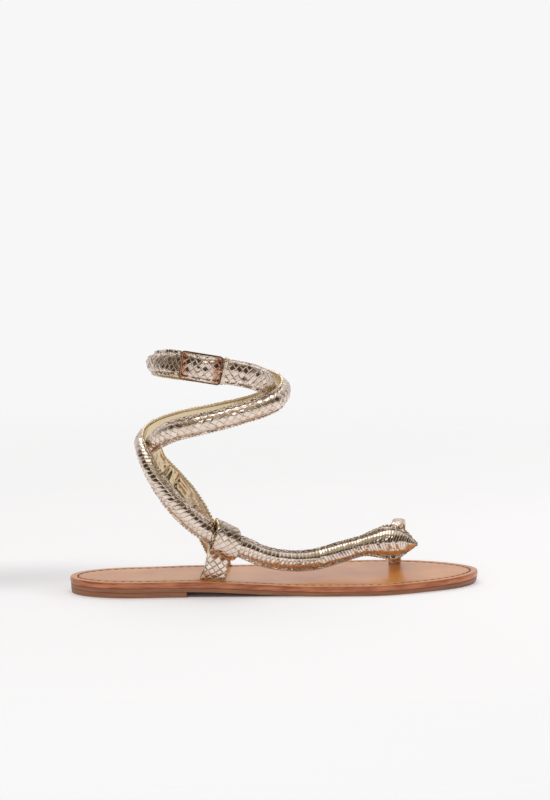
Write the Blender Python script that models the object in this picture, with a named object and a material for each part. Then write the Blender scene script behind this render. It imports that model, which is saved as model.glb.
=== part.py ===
"""Gladiator sandal, a right shoe: a flat leather sole with two padded straps wound round the ankle.

The sandal is modelled on a last whose toe points along +X, with the medial side towards +Y and the
floor at Z = 0. The origin is the middle of the heel lift's tread. All sizes are in metres.
"""

import math

import bmesh
import bpy
import numpy as np
from mathutils import Matrix, Vector

# Sole
SOLE_LENGTH = 0.250
HEEL_WIDTH = 0.054
BALL_WIDTH = 0.086
INSOLE_THICKNESS = 0.0036
OUTSOLE_THICKNESS = 0.0025
LIFT_THICKNESS = 0.0030
HEEL_SEAT_LENGTH = 0.068
TOE_SPRING_HEIGHT = 0.0014
EDGE_SLOPE_WIDTH = 0.0008
FLAT_START = 0.60
FLAT_END = 0.75
HEEL_ROUND_LENGTH = 0.045
HEEL_FULLNESS = 2.1
TOE_ROUND_LENGTH = 0.070
TOE_FULLNESS = 1.85
SOLE_STEPS = 44

# Fit between pieces, and the angle below which facets are shaded as one round surface
CLEARANCE = 0.0003
SMOOTH_ANGLE = math.radians(40.0)

# Straps
STRAP_WIDTH = 0.0130
FLAT_THICKNESS = 0.0014
PAD_HEIGHT = 0.0039
STRAP_STEP = 0.0045

# Ankle that the straps are wound on, at the straps' lining
ANKLE_HALF_LENGTH = 0.0350
ANKLE_HALF_WIDTH = 0.0300
ANKLE_LEAN = 0.05
ANKLE_SHIFT = 0.0015
ANKLE_ALONG = 0.3472
ANKLE_MIDDLE_HEIGHT = 0.100
BUCKLE_HEIGHT = 0.142

# Keeper on the lateral side, folded over the snake strap; places are shares of the sole's length,
# the ball's half width and the buckle's height
KEEPER_WIDTH = 0.0155
KEEPER_THICKNESS = 0.0014
KEEPER_ALONG = 0.340
KEEPER_ACROSS = -0.349
KEEPER_FOLD_PLACE = (0.363, -0.460, 0.240)
KEEPER_SKEW = 0.0044
KEEPER_TURN = math.radians(7.0)
KEEPER_RISE_HEIGHT = 0.0040
KEEPER_RISE_SHIFT = 0.0010
KEEPER_FOLD_GAP = 0.00055
KEEPER_STEP = 0.0026

# Toe loop
LOOP_WIDTH = 0.0073
LOOP_THICKNESS = 0.0015
LOOP_SPAN = 0.0235
LOOP_HEIGHT = 0.0285
LOOP_ALONG = 0.812
LOOP_HEAD_GAP = 0.0012
LOOP_TURN = math.radians(13.0)
LOOP_STEP = 0.0028

# Buckle
BUCKLE_LENGTH = 0.0246
BUCKLE_INNER_WIDTH = 0.0157
BUCKLE_WIRE_WIDTH = 0.0011
BUCKLE_CORNER_RADIUS = 0.0016
BUCKLE_TURN = 250.5
BUCKLE_SLOPE = math.radians(7.6)
BUCKLE_DROP_HEIGHT = 0.0011
PRONG_WIRE_WIDTH = 0.0010
PRONG_HOLE_SHARE = 0.31
PRONG_HOLE_LENGTH = 0.0052
PRONG_HOLE_WIDTH = 0.0018
SLIM_LOOP_WIDTH = 0.0020
SLIM_LOOP_THICKNESS = 0.0008
SLIM_LOOP_DISTANCE = 0.0148

LAYER_STEP = FLAT_THICKNESS + PAD_HEIGHT + 3.0 * CLEARANCE

# Sole outline: station along the sole, width from the heel's (0) to the ball's (1),
# and shift of the middle towards the medial side as a share of the ball's width
SOLE_STATIONS = (
    (0.00, 0.00, 0.000),
    (0.25, 0.00, 0.000),
    (0.38, 0.22, 0.012),
    (0.50, 0.54, 0.045),
    (0.62, 0.84, 0.070),
    (0.72, 1.00, 0.080),
    (0.86, 1.00, 0.098),
    (1.00, 1.00, 0.062),
)

# Half a strap's cross-section: across as a share of the half width, share of the flat
# thickness, share of the pad's height
STRAP_SECTION = (
    (1.00, 0.0, 0.00),
    (1.00, 1.0, 0.00),
    (0.76, 1.0, 0.08),
    (0.60, 1.0, 0.62),
    (0.25, 1.0, 1.00),
)

# Snake strap from its head to the ankle: along the sole's length, across the ball's half width,
# height as a share of the buckle's, facing and lean in degrees, width and pad as shares
SNAKE_FOOT_ROWS = (
    (0.861, 0.500, 0.146, 277, 10, 0.10, 0.15),
    (0.850, 0.501, 0.148, 277, 10, 0.48, 0.50),
    (0.832, 0.503, 0.152, 277, 10, 0.98, 0.90),
    (0.810, 0.500, 0.156, 278, 10, 1.38, 1.20),
    (0.790, 0.482, 0.158, 280, 10, 1.50, 1.30),
    (0.762, 0.445, 0.156, 283, 11, 1.30, 1.18),
    (0.726, 0.370, 0.152, 287, 12, 1.02, 1.05),
    (0.667, 0.235, 0.134, 292, 15, 1.00, 1.00),
    (0.586, 0.012, 0.114, 293, 18, 1.00, 1.00),
    (0.529, -0.150, 0.122, 291, 18, 1.00, 1.00),
    (0.457, -0.310, 0.158, 284, 14, 1.00, 1.00),
    (0.418, -0.385, 0.194, 278, 10, 1.00, 1.00),
    (0.370, -0.455, 0.234, 270, 6, 1.00, 1.00),
    (0.293, -0.550, 0.322, 257, 3, 1.00, 1.00),
)

# Snake strap round the ankle: turn in degrees, height as a share of the buckle's, layer, width, pad
SNAKE_ANKLE_ROWS = (
    (230, 0.412, 0.40, 1.00, 1.00),
    (210, 0.518, 0.95, 1.00, 1.00),
    (195, 0.580, 1.00, 1.00, 1.00),
    (180, 0.618, 1.00, 1.00, 1.00),
    (160, 0.648, 1.00, 1.00, 1.00),
    (140, 0.671, 0.75, 1.00, 1.00),
    (115, 0.695, 0.20, 1.00, 1.00),
    (90, 0.713, 0.00, 1.00, 1.00),
    (65, 0.737, 0.00, 1.00, 1.00),
    (40, 0.768, 0.00, 1.00, 1.00),
    (20, 0.798, 0.00, 1.02, 0.90),
    (0, 0.837, 0.00, 1.05, 0.60),
    (-20, 0.878, 0.00, 1.08, 0.30),
    (-45, 0.924, 0.03, 1.09, 0.12),
    (-68, 0.956, 0.18, 1.09, 0.10),
    (-84, 0.972, 0.23, 1.09, 0.08),
    (-93, 0.981, 0.20, 1.09, 0.08),
    (-97, 0.984, 0.40, 1.09, 0.08),
    (-101, 0.987, 0.58, 1.09, 0.08),
    (-110, 0.992, 0.61, 1.09, 0.08),
    (-118, 0.998, 0.59, 1.00, 0.08),
    (-122, 1.000, 0.56, 0.72, 0.06),
)

# Medial strap from the sole to the ankle, in the same columns as the snake strap's foot rows
MEDIAL_FOOT_ROWS = (
    (0.381, 0.690, 0.070, 92, 0, 0.96, 0.30),
    (0.373, 0.730, 0.115, 93, 0, 0.98, 0.80),
    (0.353, 0.745, 0.190, 95, 0, 1.00, 1.00),
    (0.335, 0.745, 0.262, 98, 0, 1.00, 1.00),
    (0.306, 0.725, 0.351, 104, 0, 1.00, 1.00),
    (0.266, 0.650, 0.442, 118, 0, 1.00, 1.00),
    (0.231, 0.520, 0.518, 135, 0, 1.00, 1.00),
)

# Medial strap round the ankle, in the same columns as the snake strap's ankle rows
MEDIAL_ANKLE_ROWS = (
    (158, 0.596, 0.00, 1.00, 1.00),
    (180, 0.634, 0.00, 1.00, 1.00),
    (200, 0.670, 0.00, 1.00, 1.00),
    (225, 0.715, 0.00, 1.00, 1.00),
    (250, 0.746, 0.00, 1.00, 1.00),
    (270, 0.768, 0.05, 1.00, 1.00),
    (295, 0.798, 0.40, 1.00, 1.00),
    (315, 0.820, 0.85, 1.00, 1.00),
    (335, 0.840, 1.00, 1.00, 1.00),
    (360, 0.861, 1.00, 1.00, 1.00),
    (385, 0.874, 1.00, 1.00, 1.00),
    (405, 0.882, 0.75, 1.00, 1.00),
    (425, 0.890, 0.25, 1.00, 1.00),
    (450, 0.900, 0.00, 1.00, 1.00),
    (480, 0.922, 0.00, 1.00, 1.00),
    (510, 0.950, 0.10, 1.00, 1.00),
    (540, 0.981, 0.22, 1.00, 1.00),
    (560, 0.993, 0.10, 1.00, 1.00),
    (574, 0.998, 0.00, 1.00, 0.95),
    (581, 0.999, 0.00, 0.96, 0.20),
    (586, 0.998, 0.00, 0.90, 0.00),
    (598, 0.994, 0.00, 0.90, 0.00),
    (613, 0.988, 0.00, 0.90, 0.00),
)

# Keeper's fold in the snake strap's own section: across from its middle as a share of its half
# width, outwards as a share of its whole thickness, and the keeper's width as a share
KEEPER_FOLD_ROWS = (
    (-1.16, 0.18, 0.98),
    (-1.12, 0.48, 1.02),
    (-0.78, 1.02, 1.08),
    (-0.30, 1.28, 1.10),
    (0.30, 1.28, 1.10),
    (0.78, 1.02, 1.08),
    (1.12, 0.48, 1.06),
    (1.20, 0.06, 1.04),
    (0.95, -0.24, 1.02),
    (0.00, -0.27, 1.00),
    (-0.95, -0.24, 0.98),
)

# The keeper's leg, in its slot, at the insole's surface and above it: turned from the slot's line
# to the strap's, and its width as a share
KEEPER_LEG_ROWS = (
    (0.00, 1.00),
    (0.00, 1.00),
    (0.35, 0.94),
)

# Toe loop's outline: across as a share of half its span, height as a share of its height
LOOP_ROWS = (
    (0.11, 0.02),
    (0.13, 0.14),
    (0.50, 0.24),
    (0.88, 0.42),
    (0.98, 0.62),
    (0.82, 0.84),
    (0.45, 0.97),
    (0.00, 1.00),
)

# Prong: along it from the centre bar to its tip, height as a share of its height on the far bar
PRONG_ROWS = (
    (0.00, -0.07),
    (0.27, -0.07),
    (0.45, -0.02),
    (0.65, 0.62),
    (0.83, 0.97),
    (0.91, 1.00),
    (1.00, 0.94),
)


def clear_scene():
    for old in list(bpy.data.objects):
        bpy.data.objects.remove(old, do_unlink=True)


def material(name, colour, roughness, metallic=0.0):
    made = bpy.data.materials.new(name)
    made.use_nodes = True
    shader = made.node_tree.nodes["Principled BSDF"]
    shader.inputs["Base Color"].default_value = (*colour, 1.0)
    shader.inputs["Roughness"].default_value = roughness
    shader.inputs["Metallic"].default_value = metallic
    return made


def add_object(name, mesh, collection, finish=None):
    mesh.shade_smooth()
    mesh.set_sharp_from_angle(angle=SMOOTH_ANGLE)
    made = bpy.data.objects.new(name, mesh)
    collection.objects.link(made)
    if finish:
        mesh.materials.append(material(name, *finish))
    return made


def mesh_from_faces(name, points, faces):
    """A mesh of points and faces, its collapsed corners merged and its faces turned outwards."""
    mesh = bpy.data.meshes.new(name)
    mesh.from_pydata([tuple(point) for point in points], [], faces)
    work = bmesh.new()
    work.from_mesh(mesh)
    bmesh.ops.remove_doubles(work, verts=work.verts, dist=1e-6)
    bmesh.ops.dissolve_degenerate(work, edges=work.edges, dist=1e-6)
    bmesh.ops.triangulate(work, faces=work.faces)
    bmesh.ops.recalc_face_normals(work, faces=work.faces)
    work.to_mesh(mesh)
    work.free()
    return mesh


def smoothstep(value):
    value = np.clip(value, 0.0, 1.0)
    return value * value * (3.0 - 2.0 * value)


def smooth_through(rows, at, places):
    """A smooth curve through rows at the given parameters, read at places, by cubic Hermite pieces."""
    rows = np.asarray(rows, float)
    at = np.asarray(at, float)
    slopes = np.gradient(rows, at, axis=0)
    index = np.clip(np.searchsorted(at, places, side="right") - 1, 0, len(at) - 2)
    length = (at[index + 1] - at[index])[:, None]
    share = ((places - at[index]) / length[:, 0])[:, None]
    square, cube = share**2, share**3
    return (
        (2 * cube - 3 * square + 1) * rows[index]
        + (cube - 2 * square + share) * length * slopes[index]
        + (3 * square - 2 * cube) * rows[index + 1]
        + (cube - square) * length * slopes[index + 1]
    )


def even_path(rows, spacing):
    """Rows whose first three columns are a point, resampled about every spacing along the curve."""
    rows = np.asarray(rows, float)
    chords = np.linalg.norm(np.diff(rows[:, :3], axis=0), axis=1)
    at = np.concatenate([[0.0], np.cumsum(chords)])
    fine = smooth_through(rows, at, np.linspace(0.0, at[-1], 40 * len(rows)))
    lengths = np.linalg.norm(np.diff(fine[:, :3], axis=0), axis=1)
    run = np.concatenate([[0.0], np.cumsum(lengths)])
    count = max(2, int(round(run[-1] / spacing)))
    wanted = np.linspace(0.0, run[-1], count + 1)
    return np.stack([np.interp(wanted, run, column) for column in fine.T], axis=1)


def unit(vectors):
    return vectors / np.linalg.norm(vectors, axis=-1, keepdims=True)


# Sole


def sole_along(share):
    """World X of a share of the sole's length, from the heel's back."""
    return share * SOLE_LENGTH - HEEL_SEAT_LENGTH / 2.0


def sole_share(x):
    return (x + HEEL_SEAT_LENGTH / 2.0) / SOLE_LENGTH


def sole_edges(share, inset=0.0):
    """The lateral and medial edge at a share of the length, drawn in at the edge by inset."""
    share = np.asarray(share, float)
    stations = np.array(SOLE_STATIONS)
    between, shift = smooth_through(stations[:, 1:], stations[:, 0], share.ravel()).T
    half = (HEEL_WIDTH + between * (BALL_WIDTH - HEEL_WIDTH)) / 2.0
    from_heel = share.ravel() * SOLE_LENGTH
    heel = np.clip((HEEL_ROUND_LENGTH - from_heel) / HEEL_ROUND_LENGTH, 0.0, 1.0)
    toe = np.clip((from_heel - SOLE_LENGTH + TOE_ROUND_LENGTH) / TOE_ROUND_LENGTH, 0.0, 1.0)
    rounding = (1.0 - heel**HEEL_FULLNESS) ** (1.0 / HEEL_FULLNESS)
    rounding *= (1.0 - toe**TOE_FULLNESS) ** (1.0 / TOE_FULLNESS)
    half = (half - inset) * rounding
    middle = shift * BALL_WIDTH
    return middle - half, middle + half


def tread_height(x):
    """Underside of the outsole: level on the heel lift, down to the floor at the ball, up at the toe."""
    share = sole_share(np.asarray(x, float))
    breast = HEEL_SEAT_LENGTH / SOLE_LENGTH
    fall = smoothstep((share - breast) / (FLAT_START - breast))
    spring = np.clip((share - FLAT_END) / (1.0 - FLAT_END), 0.0, 1.0) ** 2
    return (LIFT_THICKNESS + CLEARANCE) * (1.0 - fall) + TOE_SPRING_HEIGHT * spring


def insole_underside(x):
    return tread_height(x) + OUTSOLE_THICKNESS + CLEARANCE


def insole_top(x):
    return insole_underside(x) + INSOLE_THICKNESS


def slot_floor(x, length):
    """Height at which a strap's end stops in its slot, clear of the outsole all along the slot."""
    ends = np.array([x - length / 2.0, x, x + length / 2.0])
    return float(np.max(insole_underside(ends))) + CLEARANCE / 2.0


def sole_layer(name, underside, top, insets, last_share=1.0):
    """A layer of the sole: edge outlines at its underside and top, joined by its side."""
    if last_share < 1.0:
        turns = np.linspace(0.0, math.pi / 2.0, SOLE_STEPS // 2)
        shares = (1.0 - np.cos(turns)) * last_share
    else:
        turns = np.linspace(0.0, math.pi, SOLE_STEPS + 1)
        shares = (1.0 - np.cos(turns)) / 2.0
    points = []
    for height, inset in ((underside, insets[0]), (top, insets[1])):
        drawn_ends = 2.0 if last_share == 1.0 else 1.0
        drawn = inset / SOLE_LENGTH + shares * (1.0 - drawn_ends * inset / (SOLE_LENGTH * last_share))
        lateral, medial = sole_edges(shares, inset)
        along = sole_along(drawn)
        level = np.broadcast_to(height(along), along.shape)
        points.append(np.stack([along, lateral, level], axis=1))
        points.append(np.stack([along, medial, level], axis=1))
    count = len(shares)
    low_lateral, low_medial, top_lateral, top_medial = (count * k for k in range(4))
    faces = []
    for i in range(count - 1):
        for first, second in (
            (low_lateral, low_medial),
            (low_medial, top_medial),
            (top_medial, top_lateral),
            (top_lateral, low_lateral),
        ):
            faces.append((first + i, first + i + 1, second + i + 1, second + i))
    for i in (0, count - 1):
        faces.append((low_lateral + i, low_medial + i, top_medial + i, top_lateral + i))
    return mesh_from_faces(name, np.concatenate(points), faces)


def slot_cutter(name, place, length, width, turn, cutters):
    """A block for cutting a slot through the insole."""
    bpy.ops.mesh.primitive_cube_add(size=1.0)
    cutter = bpy.context.active_object
    cutter.name = name
    for holder in list(cutter.users_collection):
        holder.objects.unlink(cutter)
    cutters.objects.link(cutter)
    cutter.scale = (length, width, 4.0 * INSOLE_THICKNESS)
    cutter.rotation_euler = (0.0, 0.0, turn)
    cutter.location = place
    cutter.hide_render = True
    cutter.display_type = "WIRE"
    return cutter


def cut(target, cutter, operation="DIFFERENCE"):
    change = target.modifiers.new(cutter.name, "BOOLEAN")
    change.operation = operation
    change.solver = "EXACT"
    change.object = cutter


# Straps


def ankle_centre(height):
    return sole_along(ANKLE_ALONG) + ANKLE_LEAN * (height - ANKLE_MIDDLE_HEIGHT)


def foot_rows(rows):
    """Strap rows on the foot as point, facing, lean, width and pad."""
    return [
        (
            sole_along(along),
            across * BALL_WIDTH / 2.0,
            height * BUCKLE_HEIGHT,
            facing,
            lean,
            width,
            pad,
        )
        for along, across, height, facing, lean, width, pad in rows
    ]


def ankle_rows(rows, step=8.0):
    """Strap rows wound on the ankle's oval, read about every step degrees between the table's rows."""
    table = np.array(rows, float)
    way = np.sign(table[1, 0] - table[0, 0])
    at = table[:, 0] * way
    places = np.linspace(at[0], at[-1], int(round((at[-1] - at[0]) / step)) + 1)
    result = []
    for turn, height, layer, width, pad in smooth_through(table, at, places):
        level = height * BUCKLE_HEIGHT
        angle = math.radians(turn)
        off = max(layer, 0.0) * LAYER_STEP
        x = ankle_centre(level) + (ANKLE_HALF_LENGTH + off) * math.cos(angle)
        y = ANKLE_SHIFT + (ANKLE_HALF_WIDTH + off) * math.sin(angle)
        across = math.sin(angle) / (ANKLE_HALF_WIDTH + off)
        facing = math.degrees(math.atan2(across, math.cos(angle) / (ANKLE_HALF_LENGTH + off)))
        facing += 360.0 * round((turn - facing) / 360.0)
        result.append((x, y, level, facing, 0.0, width, max(pad, 0.0)))
    return result


def strap_frames(rows, spacing):
    """Even stations along a strap: middle of its lining, outward, upward across its width, width, pad."""
    path = even_path(rows, spacing)
    middle = path[:, :3]
    tangent = unit(np.gradient(middle, axis=0))
    facing, lean = np.radians(path[:, 3]), np.radians(path[:, 4])
    outward = np.stack(
        [np.cos(facing) * np.cos(lean), np.sin(facing) * np.cos(lean), np.sin(lean)], axis=1
    )
    outward -= tangent * np.sum(outward * tangent, axis=1, keepdims=True)
    outward = unit(outward)
    upward = np.cross(tangent, outward)
    upward *= np.where(upward[:, 2:3] < 0.0, -1.0, 1.0)
    return middle, outward, upward, path[:, 5], path[:, 6]


def strap_points(frames):
    """The cross-section's ring of points at each station of a strap."""
    middle, outward, upward, width, pad = frames
    half = np.array(STRAP_SECTION)
    section = np.concatenate([half * (-1.0, 1.0, 1.0), half[::-1]])
    across = section[:, 0] * STRAP_WIDTH / 2.0
    out = section[:, 1] * FLAT_THICKNESS + np.outer(pad, section[:, 2]) * PAD_HEIGHT
    return (
        middle[:, None, :]
        + upward[:, None, :] * (width[:, None] * across)[:, :, None]
        + outward[:, None, :] * out[:, :, None]
    )


def tube_faces(rings, sides, closed=False):
    """Faces of a tube of rings: its walls, and a cap at each end unless the tube is closed."""
    faces = []
    for i in range(rings if closed else rings - 1):
        near, far = i * sides, ((i + 1) % rings) * sides
        for k in range(sides):
            after = (k + 1) % sides
            faces.append((near + k, near + after, far + after, far + k))
    if not closed:
        faces.append(tuple(range(sides)))
        faces.append(tuple((rings - 1) * sides + k for k in range(sides)))
    return faces


def strap_mesh(name, frames):
    points = strap_points(frames)
    rings, sides, _ = points.shape
    return mesh_from_faces(name, points.reshape(-1, 3), tube_faces(rings, sides))


def band_mesh(name, middle, along, width, thickness, closed=False):
    """A flat band carried along a path, its width lying in the given direction at each station."""
    if closed:
        tangent = unit(np.roll(middle, -1, axis=0) - np.roll(middle, 1, axis=0))
    else:
        tangent = unit(np.gradient(middle, axis=0))
    along = unit(along - tangent * np.sum(along * tangent, axis=1, keepdims=True))
    normal = np.cross(tangent, along)
    corners = ((-0.5, -0.5), (0.5, -0.5), (0.5, 0.5), (-0.5, 0.5))
    points = np.stack(
        [middle + along * (a * width) + normal * (b * thickness) for a, b in corners], axis=1
    )
    return mesh_from_faces(name, points.reshape(-1, 3), tube_faces(len(middle), 4, closed))


def strap_near(frames, wanted):
    """A strap's frame at the place of its lining nearest to a point, and the strap's own direction."""
    middle = frames[0]
    steps = np.diff(middle, axis=0)
    shares = np.sum((wanted - middle[:-1]) * steps, axis=1) / np.sum(steps * steps, axis=1)
    shares = np.clip(shares, 0.0, 1.0)
    gaps = np.linalg.norm(middle[:-1] + steps * shares[:, None] - wanted, axis=1)
    at = int(np.argmin(gaps))
    mixed = [values[at] * (1.0 - shares[at]) + values[at + 1] * shares[at] for values in frames]
    return (mixed[0], unit(mixed[1]), unit(mixed[2]), mixed[3], mixed[4], unit(-steps[at]))


# Keeper


def keeper_fold(snake):
    """Points of the fold round the strap, its lower side set nearer the toe, and the strap's direction."""
    share, side, level = KEEPER_FOLD_PLACE
    fold_place = np.array([sole_along(share), side * BALL_WIDTH / 2.0, level * BUCKLE_HEIGHT])
    along_strap = strap_near(snake, fold_place)[-1]
    reach = KEEPER_THICKNESS / 2.0 + KEEPER_FOLD_GAP
    half_width, thickness = STRAP_WIDTH / 2.0 + reach, FLAT_THICKNESS + PAD_HEIGHT + reach
    points = []
    for across, out, _ in KEEPER_FOLD_ROWS:
        place = fold_place - along_strap * (across * KEEPER_SKEW / 2.0)
        middle, outward, upward, *_ = strap_near(snake, place)
        points.append(tuple(middle + upward * (across * half_width) + outward * (out * thickness)))
    return points, along_strap


def keeper_mesh(name, snake):
    """Leather folded over the snake strap, both ends going down side by side into the insole."""
    fold, along_strap = keeper_fold(snake)
    along_slot = np.array([math.cos(KEEPER_TURN), math.sin(KEEPER_TURN), 0.0])
    x = sole_along(KEEPER_ALONG)
    floor = slot_floor(x, KEEPER_WIDTH)
    surface = float(insole_top(x))
    apart = (KEEPER_THICKNESS + CLEARANCE) / 2.0
    legs = []
    for side in (-1.0, 1.0):
        y = KEEPER_ACROSS * BALL_WIDTH / 2.0 + side * apart
        bent = (x + KEEPER_RISE_SHIFT, y, surface + KEEPER_RISE_HEIGHT)
        legs.append([(x, y, floor), (x, y, surface), bent])
    turned, widths = zip(*KEEPER_LEG_ROWS)
    turned = (*turned, *[1.0] * len(fold), *turned[::-1])
    widths = (*widths, *[width for _, _, width in KEEPER_FOLD_ROWS], *widths[::-1])
    table = np.column_stack([legs[0] + fold + legs[1][::-1], turned, widths])
    path = even_path(table, KEEPER_STEP)
    path[0, 2] = path[-1, 2] = floor
    share = np.clip(path[:, 3:4], 0.0, 1.0)
    along = unit(along_slot * (1.0 - share) + along_strap * share)
    return band_mesh(name, path[:, :3], along, KEEPER_WIDTH * path[:, 4:], KEEPER_THICKNESS)


# Toe loop


def loop_side():
    """The toe loop's middle, across the sole: beside the snake strap's head, with a gap."""
    heads = np.array(SNAKE_FOOT_ROWS)[:, :2]
    head = np.interp(LOOP_ALONG, heads[::-1, 0], heads[::-1, 1]) * BALL_WIDTH / 2.0
    return head + LOOP_SPAN / 2.0 + LOOP_HEAD_GAP


def toe_loop_mesh(name):
    """A band bent into a ring for the big toe, its two ends side by side in the insole."""
    x = sole_along(LOOP_ALONG)
    surface = float(insole_top(x))
    floor = slot_floor(x, LOOP_WIDTH)
    across = np.array([math.sin(LOOP_TURN), math.cos(LOOP_TURN), 0.0])
    along = np.array([math.cos(LOOP_TURN), -math.sin(LOOP_TURN), 0.0])
    half_span = (LOOP_SPAN - LOOP_THICKNESS) / 2.0
    height = LOOP_HEIGHT - LOOP_THICKNESS / 2.0
    apart = (LOOP_THICKNESS + CLEARANCE) / 2.0
    near = [(-apart, floor)]
    near += [(-share * half_span, surface + level * height) for share, level in LOOP_ROWS]
    far = [(-across_ring, level) for across_ring, level in near[-2::-1]]
    rows = [
        np.array([x, loop_side(), level]) + across * across_ring
        for across_ring, level in near + far
    ]
    path = even_path(np.array(rows), LOOP_STEP)
    path[0, 2] = path[-1, 2] = floor
    return band_mesh(name, path, np.tile(along, (len(path), 1)), LOOP_WIDTH, LOOP_THICKNESS)


# Buckle


def buckle_matrix():
    """World matrix of the buckle: X along the strap towards the toe, Y across it, Z outwards."""
    turn = math.radians(BUCKLE_TURN)
    level = BUCKLE_HEIGHT - BUCKLE_DROP_HEIGHT
    outward = unit(
        np.array([math.cos(turn) / ANKLE_HALF_LENGTH, math.sin(turn) / ANKLE_HALF_WIDTH, 0.0])
    )
    level_way = np.array([-outward[1], outward[0], 0.0])
    along = level_way * math.cos(BUCKLE_SLOPE) - np.array([0.0, 0.0, math.sin(BUCKLE_SLOPE)])
    across = np.cross(outward, along)
    lining = np.array(
        [
            ankle_centre(level) + ANKLE_HALF_LENGTH * math.cos(turn),
            ANKLE_SHIFT + ANKLE_HALF_WIDTH * math.sin(turn),
            level,
        ]
    )
    place = lining + outward * (FLAT_THICKNESS + CLEARANCE + BUCKLE_WIRE_WIDTH / 2.0)
    columns = np.array([along, across, outward, place]).T
    return Matrix([[*row] for row in columns] + [[0.0, 0.0, 0.0, 1.0]])


def wire_mesh(name, points, wire, cyclic=False, resolution=3):
    """A round wire through points, as a mesh with its caps welded."""
    curve = bpy.data.curves.new(name, "CURVE")
    curve.dimensions = "3D"
    curve.bevel_depth = wire / 2.0
    curve.bevel_resolution = resolution
    curve.use_fill_caps = True
    spline = curve.splines.new("POLY")
    spline.points.add(len(points) - 1)
    for place, point in zip(spline.points, points):
        place.co = (*point, 1.0)
    spline.use_cyclic_u = cyclic
    holder = bpy.data.objects.new(name + "_wire", curve)
    bpy.context.scene.collection.objects.link(holder)
    bpy.context.view_layer.update()
    shape = bpy.data.meshes.new_from_object(holder.evaluated_get(bpy.context.evaluated_depsgraph_get()))
    bpy.data.objects.remove(holder, do_unlink=True)
    work = bmesh.new()
    work.from_mesh(shape)
    bmesh.ops.remove_doubles(work, verts=work.verts, dist=1e-6)
    bmesh.ops.recalc_face_normals(work, faces=work.faces)
    work.to_mesh(shape)
    work.free()
    shape.name = name
    return shape


def rounded_rectangle(length, width, radius, steps=4):
    """Points round a rectangle whose corners are arcs."""
    points = []
    for turn, (x, y) in enumerate(((1, 1), (-1, 1), (-1, -1), (1, -1))):
        for step in range(steps + 1):
            angle = math.radians(90.0 * (turn + step / steps))
            points.append(
                (
                    x * (length / 2.0 - radius) + radius * math.cos(angle),
                    y * (width / 2.0 - radius) + radius * math.sin(angle),
                    0.0,
                )
            )
    return points


def prong_points():
    """The prong in the buckle's own frame: under the strap, up through its hole, onto the far bar."""
    root = BUCKLE_WIRE_WIDTH / 2.0 + CLEARANCE
    length = BUCKLE_LENGTH / 2.0 + BUCKLE_WIRE_WIDTH - root
    top = (BUCKLE_WIRE_WIDTH + PRONG_WIRE_WIDTH) / 2.0 + CLEARANCE
    rows = [(root + along * length, 0.0, height * top) for along, height in PRONG_ROWS]
    return [tuple(point) for point in even_path(rows, PRONG_WIRE_WIDTH)]


def slim_loop_mesh(name, snake, place):
    """A narrow leather loop round the strap, next to the buckle on the side of the toe."""
    middle, outward, upward, width, pad, along = strap_near(
        snake, np.array(place @ Vector((SLIM_LOOP_DISTANCE, 0.0, 0.0)))
    )
    thickness = FLAT_THICKNESS + pad * PAD_HEIGHT
    gap = SLIM_LOOP_THICKNESS + 3.0 * CLEARANCE
    outline = rounded_rectangle(
        STRAP_WIDTH * width + gap + CLEARANCE, thickness + gap, SLIM_LOOP_THICKNESS, 3
    )
    path = np.array(
        [middle + upward * x + outward * (y + thickness / 2.0) for x, y, _ in outline]
    )
    directions = np.tile(along, (len(path), 1))
    return band_mesh(name, path, directions, SLIM_LOOP_WIDTH, SLIM_LOOP_THICKNESS, closed=True)


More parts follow.
